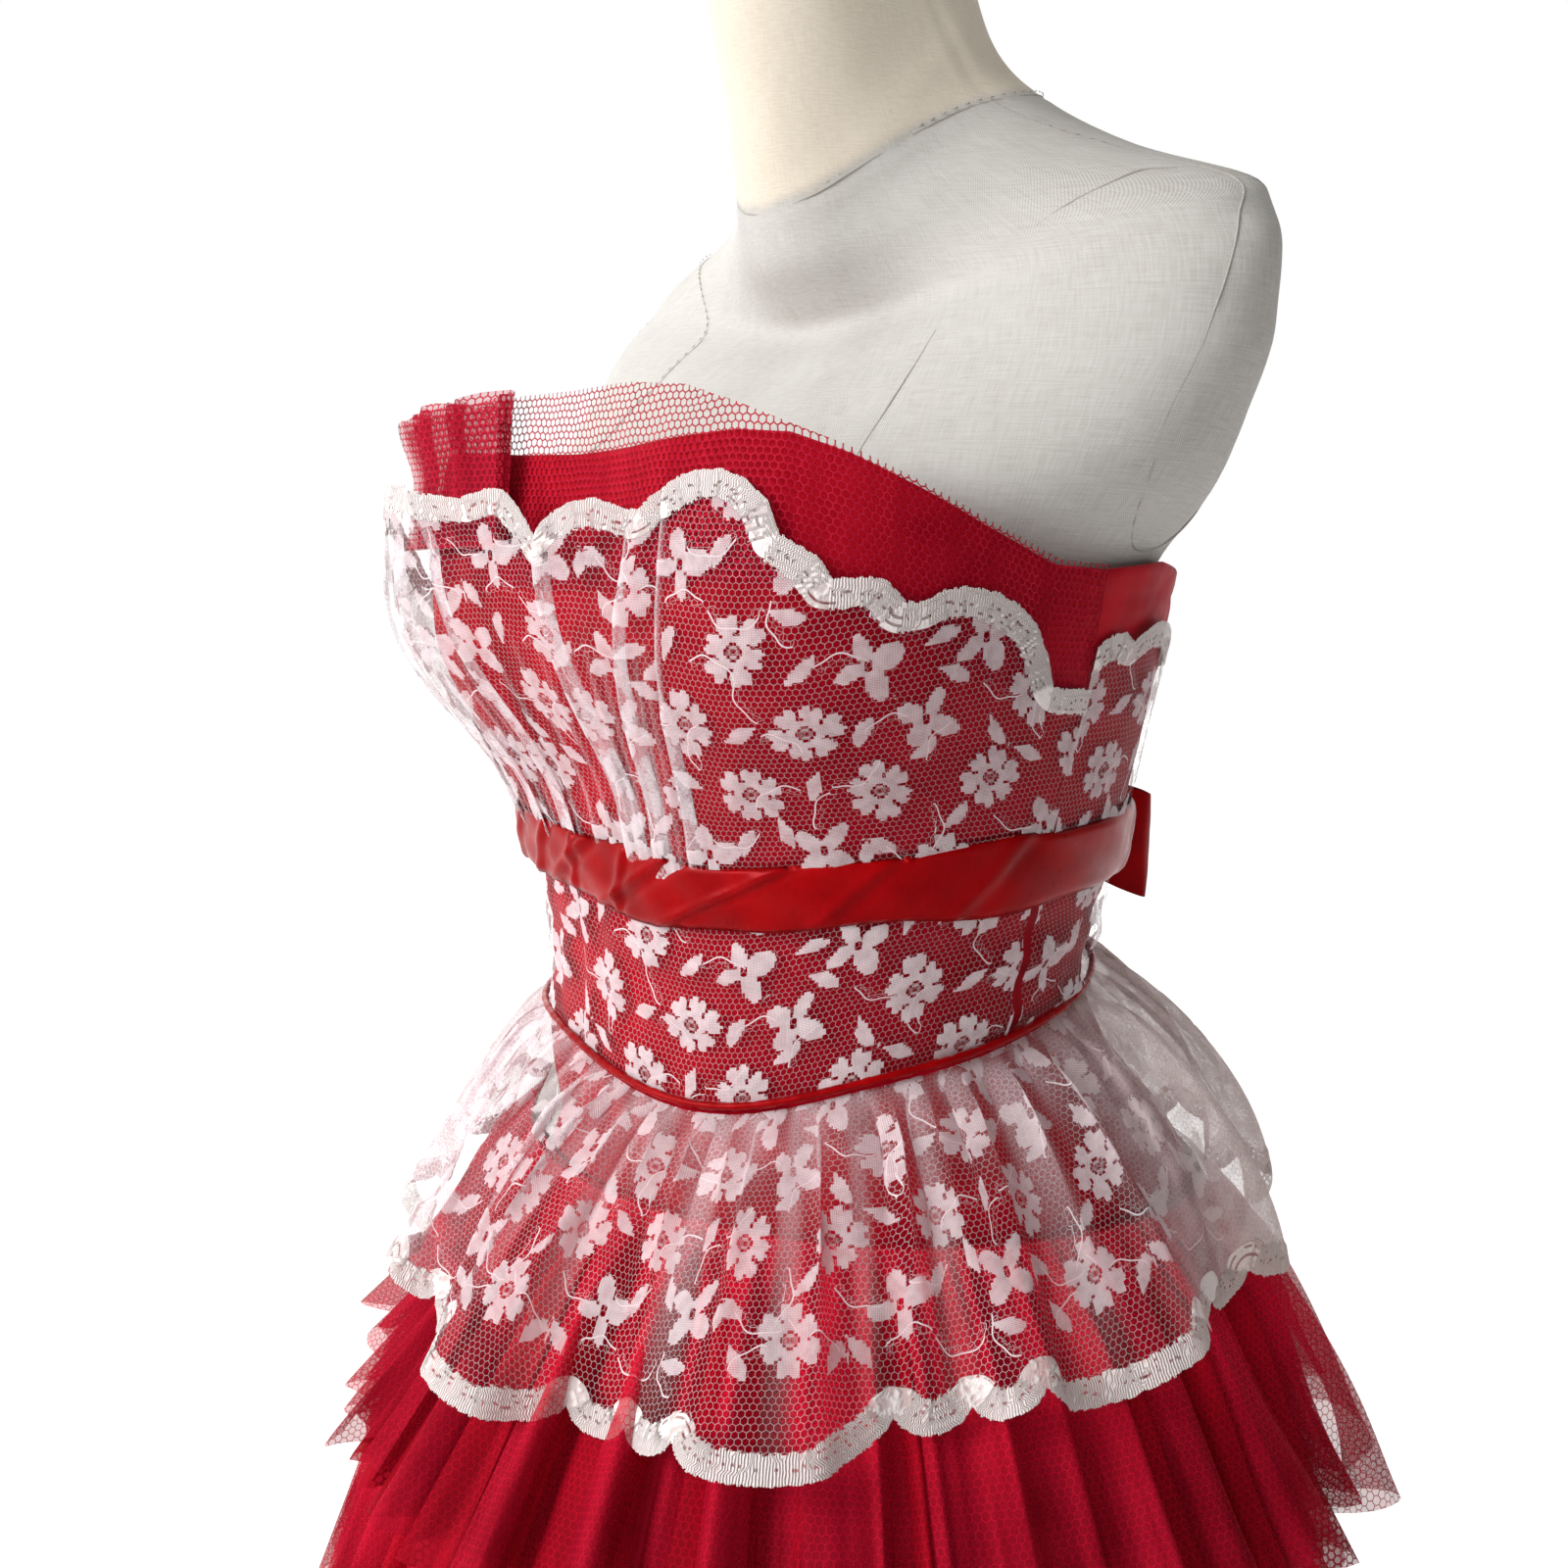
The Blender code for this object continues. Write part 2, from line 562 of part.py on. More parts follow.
cols = np.linspace(0, 2 * math.pi, 4 * TIER_FOLDS, endpoint=False)
s = np.array([0.0, 1.0])
for k in range(TIERS):
    wall("net_tier_%d" % (k + 1), tier_point(k, cols[:, None], s[None, :], 0.0), tier_point(k, cols[:, None], s[None, :], 0.0012), True, RED_NET, 0.85)

# ---------------------------------------------------------------- centre the whole on the origin
lo = np.array([1e9] * 3)
hi = -lo
for ob in bpy.data.objects:
    co = np.array([v.co[:] for v in ob.data.vertices])
    lo, hi = np.minimum(lo, co.min(0)), np.maximum(hi, co.max(0))
shift = -(lo + hi) / 2
for ob in bpy.data.objects:
    for v in ob.data.vertices:
        v.co.x += shift[0]
        v.co.y += shift[1]
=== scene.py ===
import bpy
import math
import numpy as np
from mathutils import Vector, Matrix
from mathutils.kdtree import KDTree


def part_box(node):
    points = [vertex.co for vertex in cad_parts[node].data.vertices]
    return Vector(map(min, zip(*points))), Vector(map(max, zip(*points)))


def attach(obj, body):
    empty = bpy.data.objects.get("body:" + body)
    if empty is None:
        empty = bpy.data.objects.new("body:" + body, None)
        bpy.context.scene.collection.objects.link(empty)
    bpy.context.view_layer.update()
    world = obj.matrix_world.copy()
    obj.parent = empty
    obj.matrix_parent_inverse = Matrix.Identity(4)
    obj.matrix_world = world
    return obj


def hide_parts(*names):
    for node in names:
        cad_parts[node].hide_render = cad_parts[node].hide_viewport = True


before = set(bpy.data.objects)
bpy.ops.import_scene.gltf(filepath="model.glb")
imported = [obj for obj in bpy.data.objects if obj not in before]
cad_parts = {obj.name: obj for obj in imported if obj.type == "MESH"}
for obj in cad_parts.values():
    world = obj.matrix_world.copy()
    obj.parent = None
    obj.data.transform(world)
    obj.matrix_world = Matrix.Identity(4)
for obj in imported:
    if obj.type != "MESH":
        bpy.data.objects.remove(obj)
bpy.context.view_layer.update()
lo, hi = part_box("stand_base")
AX, AY = (lo[0] + hi[0]) / 2, (lo[1] + hi[1]) / 2      # the dress form's own axis in the frame
scene = bpy.context.scene

# =====================================================================  sizes shared with the frame
WAIST_Z = 1.040
SIDE = math.radians(83.6)
PLEATS = 6
FULLNESS = 0.0140
TIERS, TIER_STEP, TIER_TOP_HEM, TIER_DROP, TIER_FLARE = 8, 0.080, -0.180, 0.115, 0.032
SKIRT_END = -0.700
FORM_END = -0.310

# z, half_width, front_depth, back_depth, centre_y, power
FORM = [
    (-0.310, 0.138, 0.092, 0.104, 0.000, 2.2), (-0.300, 0.147, 0.098, 0.111, 0.000, 2.2),
    (-0.230, 0.164, 0.110, 0.122, 0.000, 2.2), (-0.150, 0.156, 0.110, 0.115, 0.000, 2.2),
    (-0.080, 0.132, 0.101, 0.100, 0.000, 2.2), (-0.030, 0.108, 0.092, 0.086, 0.000, 2.2),
    (0.010, 0.104, 0.091, 0.084, 0.000, 2.2), (0.050, 0.114, 0.096, 0.089, 0.000, 2.2),
    (0.090, 0.124, 0.101, 0.094, 0.000, 2.2), (0.130, 0.130, 0.102, 0.095, 0.000, 2.2),
    (0.165, 0.1360, 0.0980, 0.0960, 0.0010, 2.15), (0.195, 0.1582, 0.0881, 0.0933, 0.0087, 2.1),
    (0.220, 0.1663, 0.0803, 0.0858, 0.0194, 2.0), (0.240, 0.1698, 0.0767, 0.0776, 0.0275, 2.0),
    (0.255, 0.1683, 0.0725, 0.0706, 0.0334, 2.0), (0.268, 0.1670, 0.0686, 0.0657, 0.0374, 2.0),
    (0.279, 0.1637, 0.0645, 0.0629, 0.0415, 2.0), (0.289, 0.1570, 0.0610, 0.0617, 0.0462, 2.0),
    (0.301, 0.1469, 0.0569, 0.0590, 0.0481, 2.0), (0.316, 0.1020, 0.0546, 0.0476, 0.0394, 2.0),
    (0.335, 0.0637, 0.0544, 0.0377, 0.0238, 2.0), (0.365, 0.0449, 0.0536, 0.0357, 0.0097, 2.0),
    (0.400, 0.0401, 0.0520, 0.0381, -0.0022, 2.0), (0.440, 0.0460, 0.0523, 0.0439, -0.0121, 2.0),
    (0.455, 0.0500, 0.0500, 0.0480, -0.0170, 2.0),
]
# The neck and shoulders lean: the front uses the sections from this much higher up
FORM_TILT = 0.0615
FORM_BUST = dict(at=math.radians(38), z=0.128, height=0.028, wide=math.radians(21), low=0.038, high=0.038)
DRESS = [
    (-0.040, 0.1140, 0.1010, 0.0940, 0.0, 2.15), (0.000, 0.1125, 0.1000, 0.0930, 0.0, 2.15),
    (0.030, 0.1170, 0.1020, 0.0950, 0.0, 2.15), (0.061, 0.1250, 0.1060, 0.0990, 0.0, 2.15),
    (0.095, 0.1320, 0.1100, 0.1030, 0.0, 2.15), (0.130, 0.1390, 0.1140, 0.1060, 0.0, 2.15),
    (0.165, 0.1450, 0.1160, 0.1090, 0.0, 2.15), (0.200, 0.1500, 0.1170, 0.1120, 0.0, 2.15),
    (0.240, 0.1560, 0.1180, 0.1150, 0.0, 2.15),
]
DRESS_BUST = dict(at=math.radians(38), z=0.135, height=0.032, wide=math.radians(22), low=0.040, high=0.075)
SKIRT = [
    (-0.740, 0.2680, 0.2640, 0.2620, 0.0, 2.0), (-0.500, 0.2300, 0.2240, 0.2220, 0.0, 2.0),
    (-0.350, 0.2080, 0.2000, 0.1980, 0.0, 2.0), (-0.230, 0.1900, 0.1780, 0.1760, 0.0, 2.05),
    (-0.150, 0.1740, 0.1600, 0.1570, 0.0, 2.1), (-0.080, 0.1500, 0.1350, 0.1300, 0.0, 2.1),
    (-0.030, 0.1240, 0.1110, 0.1030, 0.0, 2.15), (0.000, 0.1125, 0.1000, 0.0930, 0.0, 2.15),
    (0.030, 0.1110, 0.0990, 0.0920, 0.0, 2.15),
]
# angle_deg, satin_top, net_top (mirrored)
NECKLINE = [
    (0.0, 0.1945, 0.2170), (14.0, 0.1955, 0.2175), (25.0, 0.1975, 0.2150), (33.0, 0.1990, 0.2085),
    (40.0, 0.1980, 0.2015), (47.0, 0.1917, 0.1945), (56.0, 0.1809, 0.1835), (63.5, 0.1715, 0.1740),
    (74.0, 0.1610, 0.1635), (83.6, 0.1605, 0.1630), (100.0, 0.1650, 0.1650), (112.0, 0.1635, 0.1635),
    (145.0, 0.1540, 0.1540), (180.0, 0.1500, 0.1500),
]
# angle_deg, lace_top on the front (not mirrored): the scalloped edge's own arches and notches
LACE_FRONT_TOP = [
    (-83.6, 0.1230), (-79.5, 0.1235), (-78.0, 0.1300), (-74.0, 0.1430), (-69.0, 0.1500), (-64.0, 0.1520), (-60.5, 0.1480),
    (-58.0, 0.1540), (-54.0, 0.1560), (-51.5, 0.1530), (-49.0, 0.1640), (-45.0, 0.1750), (-41.0, 0.1830), (-36.0, 0.1870),
    (-30.0, 0.1865), (-25.0, 0.1850), (-18.0, 0.1820), (-12.0, 0.1805), (-8.0, 0.1835), (-5.0, 0.1830), (-1.5, 0.1760),
    (2.0, 0.1665), (5.0, 0.1740), (9.0, 0.1785), (13.0, 0.1795), (17.0, 0.1760), (19.5, 0.1755), (21.5, 0.1800),
    (25.0, 0.1855), (28.5, 0.1880), (32.0, 0.1880), (35.0, 0.1850), (38.0, 0.1780), (39.5, 0.1680), (41.5, 0.1650),
    (44.0, 0.1610), (45.5, 0.1550), (47.5, 0.1555), (49.5, 0.1560), (51.4, 0.1550), (53.5, 0.1490), (55.5, 0.1490),
    (58.0, 0.1530), (61.0, 0.1545), (65.0, 0.1530), (68.5, 0.1490), (71.5, 0.1430), (74.0, 0.1330), (75.8, 0.1235),
    (78.0, 0.1228), (83.6, 0.1225),
]
LACE_BACK_TOP = [
    (83.6, 0.1365), (86.0, 0.1405), (89.5, 0.1420), (92.0, 0.1390), (94.5, 0.1425), (99.0, 0.1460), (105.0, 0.1460),
    (110.0, 0.1430), (113.0, 0.1380), (117.0, 0.1405), (121.0, 0.1405), (125.0, 0.1360), (130.0, 0.1420), (137.0, 0.1440),
    (144.0, 0.1420), (149.0, 0.1350), (153.0, 0.1385), (157.0, 0.1385), (161.0, 0.1335), (166.0, 0.1390), (173.0, 0.1410),
    (180.0, 0.1400),
]


def column(table, z, k):
    rows = sorted(table)
    zs = np.array([r[0] for r in rows])
    v = np.array([r[k] for r in rows])
    z = np.clip(z, zs[0], zs[-1])
    i = np.clip(np.searchsorted(zs, z) - 1, 0, len(zs) - 2)
    h = zs[i + 1] - zs[i]
    t = (z - zs[i]) / h
    m = np.gradient(v, zs)
    return ((2 * t**3 - 3 * t**2 + 1) * v[i] + (t**3 - 2 * t**2 + t) * h * m[i]
            + (-2 * t**3 + 3 * t**2) * v[i + 1] + (t**3 - t**2) * h * m[i + 1])


def lerp(table, deg, k=1):
    return np.interp(deg, [r[0] for r in table], [r[k] for r in table])


def oval(th, half, front, back, power):
    c, s = np.cos(th), np.abs(np.sin(th))
    depth = np.where(c > 0, front, back)
    return 1.0 / ((s / half)**power + (np.abs(c) / depth)**power)**(1.0 / power)


def bust(th, z, b):
    r = 0.0
    for side in (-1, 1):
        d = np.arctan2(np.sin(th - side * b['at']), np.cos(th - side * b['at'])) / b['wide']
        dz = z - b['z']
        e = dz / np.where(dz > 0, b['high'], b['low'])
        r = r + b['height'] * np.exp(-0.5 * (d * d + e * e))
    return r


def section(table, th, z):
    return oval(th, column(table, z, 1), column(table, z, 2), column(table, z, 3), column(table, z, 5))


def form_point(th, z, off=0.0):
    c = np.cos(th)
    e = z + FORM_TILT * (0.80 * c + 0.20 * np.sqrt(c * c + 0.03)) * smooth01((z - 0.185) / 0.100)
    r = section(FORM, th, e) + bust(th, z, FORM_BUST) + off
    return np.stack([AX + r * np.sin(th), AY + column(FORM, e, 4) - r * np.cos(th), WAIST_Z + z + 0 * r], -1)


def dress_r(th, z):
    return section(DRESS, th, z) + bust(th, z, DRESS_BUST)


def point(r, th, z):
    return np.stack([AX + r * np.sin(th), AY - r * np.cos(th), WAIST_Z + z + 0 * r], -1)


def wrap(th):
    return np.arctan2(np.sin(th), np.cos(th))


def smooth01(x):
    x = np.clip(x, 0, 1)
    return x * x * (3 - 2 * x)


def sway(th):
    t = wrap(th)
    return np.sin(3 * t) * np.exp(-(t / math.radians(55))**4)


def waist_z(th):
    return -0.026 * np.cos(th) - 0.0065 * sway(th)


def skirt_r(th, z):
    d = np.degrees(wrap(th))
    slim = 0.0125 * np.exp(-((d + 42) / 42)**2) * smooth01((-z - 0.03) / 0.09) * (1 - smooth01((-z - 0.32) / 0.2))
    slim = slim + 0.0160 * np.exp(-((d + 44) / 38)**2) * smooth01((-z - 0.02) / 0.04) * (1 - smooth01((-z - 0.13) / 0.06))
    slim = slim - 0.0130 * np.exp(-((d - 122) / 34)**2) * smooth01((-z - 0.015) / 0.04) * (1 - smooth01((-z - 0.09) / 0.07))
    return section(SKIRT, th, z - waist_z(th) * (1 - smooth01(-z / 0.22))) - slim


def ribbon_mid(th):
    return 0.0605 - 0.013 * np.cos(th) - 0.004 * sway(th)


def ribbon_w(th):
    return 0.0240 + 0.004 * (0.5 - 0.5 * np.cos(th))


def satin_top(th):
    return lerp(NECKLINE, np.degrees(np.abs(wrap(th))), 1)


def net_top(th):
    return lerp(NECKLINE, np.degrees(np.abs(wrap(th))), 2)


def pleat_angle(u, z):
    k = smooth01((z - 0.060) / 0.120)
    mid = math.radians(-3.0) * (1 - k) + math.radians(-6.5) * k
    half = math.radians(19.5) * (1 - k) + math.radians(33.0) * k
    return mid + half * u


def lace_stand(th, z):
    k = smooth01((z - 0.074) / 0.088)
    d = np.degrees(wrap(th))
    side = smooth01((d + 62) / 24) * (1 - smooth01((d - 2) / 24))
    return FULLNESS * k * side


# =====================================================================  mesh helpers
RNG = np.random.default_rng(7)
MADE = []


def make(name, verts, faces, mat, attrs=None, smooth=True):
    """A mesh object from numpy arrays: verts [n, 3], faces [m, 4] or [m, 3]; attrs are per-vertex."""
    me = bpy.data.meshes.new(name)
    n, (m, k) = len(verts), faces.shape
    me.vertices.add(n)
    me.vertices.foreach_set("co", np.asarray(verts, dtype=np.float32).ravel())
    me.loops.add(m * k)
    me.loops.foreach_set("vertex_index", faces.astype(np.int32).ravel())
    me.polygons.add(m)
    me.polygons.foreach_set("loop_start", np.arange(0, m * k, k, dtype=np.int32))
    me.update(calc_edges=True)
    me.polygons.foreach_set("use_smooth", np.full(m, smooth))
    for key, val in (attrs or {}).items():
        val = np.asarray(val, dtype=np.float32)
        if val.ndim == 1:
            me.attributes.new(key, 'FLOAT', 'POINT').data.foreach_set("value", val)
        else:
            if val.shape[1] == 2:
                val = np.concatenate([val, np.zeros((len(val), 1), np.float32)], 1)
            me.attributes.new(key, 'FLOAT_VECTOR', 'POINT').data.foreach_set("vector", val.ravel())
    ob = bpy.data.objects.new(name, me)
    scene.collection.objects.link(ob)
    me.materials.append(mat)
    MADE.append(ob)
    return ob


def grid_faces(n, m, closed=False, flip=False, start=0):
    i = np.arange(n if closed else n - 1)
    j = np.arange(m - 1)
    I, J = np.meshgrid(i, j, indexing='ij')
    a = I * m + J
    b = ((I + 1) % n) * m + J
    f = np.stack([a, b, b + 1, a + 1], -1).reshape(-1, 4)
    return (f[:, ::-1] if flip else f) + start


def sheet_grid(name, P, mat, closed=False, attrs=None, flip=False):
    n, m = P.shape[:2]
    flat = {k: (v.reshape(n * m, -1) if v.ndim == 3 else v.reshape(-1)) for k, v in (attrs or {}).items()}
    return make(name, P.reshape(-1, 3), grid_faces(n, m, closed, flip), mat, flat)


def area_of(P, closed=False):
    Q = np.concatenate([P, P[:1]], 0) if closed else P
    a, b, c, d = Q[:-1, :-1], Q[1:, :-1], Q[1:, 1:], Q[:-1, 1:]
    t = np.linalg.norm(np.cross(b - a, c - a), axis=-1) + np.linalg.norm(np.cross(c - a, d - a), axis=-1)
    return float(t.sum() / 2)


def arc_rows(P):
    """Length along each column of a grid [n, m, 3] from its first row."""
    d = np.linalg.norm(np.diff(P, axis=1), axis=-1)
    return np.concatenate([np.zeros((P.shape[0], 1)), np.cumsum(d, 1)], 1)


def arc_path(P, closed=False):
    d = np.linalg.norm(np.diff(P, axis=0), axis=-1)
    return np.concatenate([[0.0], np.cumsum(d)])


def tube_mesh(path, radius, sides, closed=False, up=(0, 0, 1.0), squash=1.0):
    """Verts and faces of a tube along path [n, 3]; radius may vary."""
    path = np.asarray(path, float)
    n = len(path)
    rad = np.broadcast_to(np.asarray(radius, float), (n,))
    tan = np.gradient(path, axis=0)
    if closed:
        tan = np.roll(path, -1, 0) - np.roll(path, 1, 0)
    tan /= np.linalg.norm(tan, axis=1)[:, None] + 1e-12
    up = np.broadcast_to(np.asarray(up, float), (n, 3))
    side = np.cross(tan, up)
    side /= np.linalg.norm(side, axis=1)[:, None] + 1e-12
    upv = np.cross(side, tan)
    a = 2 * np.pi * np.arange(sides) / sides
    V = path[:, None] + rad[:, None, None] * (np.cos(a)[None, :, None] * side[:, None] * squash + np.sin(a)[None, :, None] * upv[:, None])
    i = np.arange(n if closed else n - 1)
    k = np.arange(sides)
    I, K = np.meshgrid(i, k, indexing='ij')
    A = I * sides + K
    B = I * sides + (K + 1) % sides
    C = ((I + 1) % n) * sides + (K + 1) % sides
    D = ((I + 1) % n) * sides + K
    return V.reshape(-1, 3), np.stack([A, B, C, D], -1).reshape(-1, 4)


def join_parts(parts):
    vs, fs, at, off = [], [], [], 0
    for v, f in parts:
        vs.append(v)
        fs.append(f + off)
        off += len(v)
    return np.concatenate(vs), np.concatenate(fs)


def blobs(centres, axes, size, jitter=0.0):
    """Small rounded stitches: elongated octahedra at centres [n,3], along axes [n,3,3] (rows: long, wide, high)."""
    base = np.array([(1, 0, 0), (-1, 0, 0), (0, 1, 0), (0, -1, 0), (0, 0, 1), (0, 0, -1)], float)
    tri = np.array([(0, 2, 4), (2, 1, 4), (1, 3, 4), (3, 0, 4), (2, 0, 5), (1, 2, 5), (3, 1, 5), (0, 3, 5)])
    loc = base * np.asarray(size)[None, :]
    V = centres[:, None, :] + np.einsum('kj,nji->nki', loc, axes)
    F = tri[None] + 6 * np.arange(len(centres))[:, None, None]
    return V.reshape(-1, 3), F.reshape(-1, 3)


# =====================================================================  node helpers
class Net:
    def __init__(self, name):
        self.m = bpy.data.materials.new(name)
        self.m.use_nodes = True
        self.t = self.m.node_tree
        self.b = self.t.nodes["Principled BSDF"]
        self.out = self.t.nodes["Material Output"]

    def n(self, kind, **kw):
        node = self.t.nodes.new(kind)
        for k, v in kw.items():
            setattr(node, k, v)
        return node

    def put(self, sock, val):
        if isinstance(val, bpy.types.NodeSocket):
            self.t.links.new(val, sock)
        else:
            sock.default_value = val

    def math(self, op, a, b=None, c=None, clamp=False):
        node = self.n("ShaderNodeMath", operation=op, use_clamp=clamp)
        for i, v in enumerate((a, b, c)):
            if v is not None:
                self.put(node.inputs[i], v)
        return node.outputs[0]

    def vmath(self, op, a, b=None, scale=None):
        node = self.n("ShaderNodeVectorMath", operation=op)
        self.put(node.inputs[0], a)
        if b is not None:
            self.put(node.inputs[1], b)
        if scale is not None:
            self.put(node.inputs["Scale"], scale)
        return node.outputs["Value"] if op in ("LENGTH", "DOT_PRODUCT", "DISTANCE") else node.outputs["Vector"]

    def attr(self, name, vec=False):
        node = self.n("ShaderNodeAttribute", attribute_name=name)
        return node.outputs["Vector"] if vec else node.outputs["Fac"]

    def xyz(self, v):
        s = self.n("ShaderNodeSeparateXYZ")
        self.put(s.inputs[0], v)
        return s.outputs[0], s.outputs[1], s.outputs[2]

    def vec(self, x, y, z=0.0):
        s = self.n("ShaderNodeCombineXYZ")
        for i, v in enumerate((x, y, z)):
            self.put(s.inputs[i], v)
        return s.outputs[0]

    def step(self, v, a, b, lo=0.0, hi=1.0, kind='SMOOTHSTEP'):
        node = self.n("ShaderNodeMapRange", interpolation_type=kind)
        for k, x in (("Value", v), ("From Min", a), ("From Max", b), ("To Min", lo), ("To Max", hi)):
            self.put(node.inputs[k], x)
        return node.outputs[0]

    def noise(self, vec, scale, detail=2.0, rough=0.5, dist=0.0, color=False):
        node = self.n("ShaderNodeTexNoise")
        self.put(node.inputs["Vector"], vec)
        node.inputs["Scale"].default_value = scale
        node.inputs["Detail"].default_value = detail
        node.inputs["Roughness"].default_value = rough
        node.inputs["Distortion"].default_value = dist
        return node.outputs["Color" if color else "Fac"]

    def mix(self, f, a, b):
        node = self.n("ShaderNodeMix", data_type='RGBA')
        self.put(node.inputs[0], f)
        self.put(node.inputs[6], a)
        self.put(node.inputs[7], b)
        return node.outputs[2]

    def ramp(self, f, stops):
        node = self.n("ShaderNodeValToRGB")
        e = node.color_ramp.elements
        while len(e) < len(stops):
            e.new(0.5)
        for k, (p, c) in enumerate(stops):
            e[k].position = p
            e[k].color = (*c, 1.0)
        self.put(node.inputs[0], f)
        return node.outputs[0]

    def bump(self, h, strength, dist, normal=None):
        node = self.n("ShaderNodeBump")
        node.inputs["Strength"].default_value = strength
        node.inputs["Distance"].default_value = dist
        self.put(node.inputs["Height"], h)
        if normal is not None:
            self.put(node.inputs["Normal"], normal)
        return node.outputs[0]

    def set(self, **kw):
        for k, v in kw.items():
            self.put(self.b.inputs[k.replace("_", " ")], v)

    def hexnet(self, p, cell):
        """Distance from the nearest thread's middle line of a hexagonal net, in the units of p."""
        root = math.sqrt(3)
        S = (cell, cell * root, 1.0)
        H = (cell / 2, cell * root / 2, 0.0)

        def folded(q):
            x, y, _ = self.xyz(q)
            x = self.math('SUBTRACT', self.math('FLOORED_MODULO', x, S[0]), H[0])
            y = self.math('SUBTRACT', self.math('FLOORED_MODULO', y, S[1]), H[1])
            ax, ay = self.math('ABSOLUTE', x), self.math('ABSOLUTE', y)
            return self.math('MAXIMUM', ax, self.math('ADD', self.math('MULTIPLY', ax, 0.5), self.math('MULTIPLY', ay, root / 2)))

        one = folded(p)
        two = folded(self.vmath('ADD', p, H))
        return self.math('SUBTRACT', cell / 2, self.math('MINIMUM', one, two))


# =====================================================================  materials
FLOWER_R, LEAF_L, LEAF_B = 11.4, 6.6, 2.7      # mm


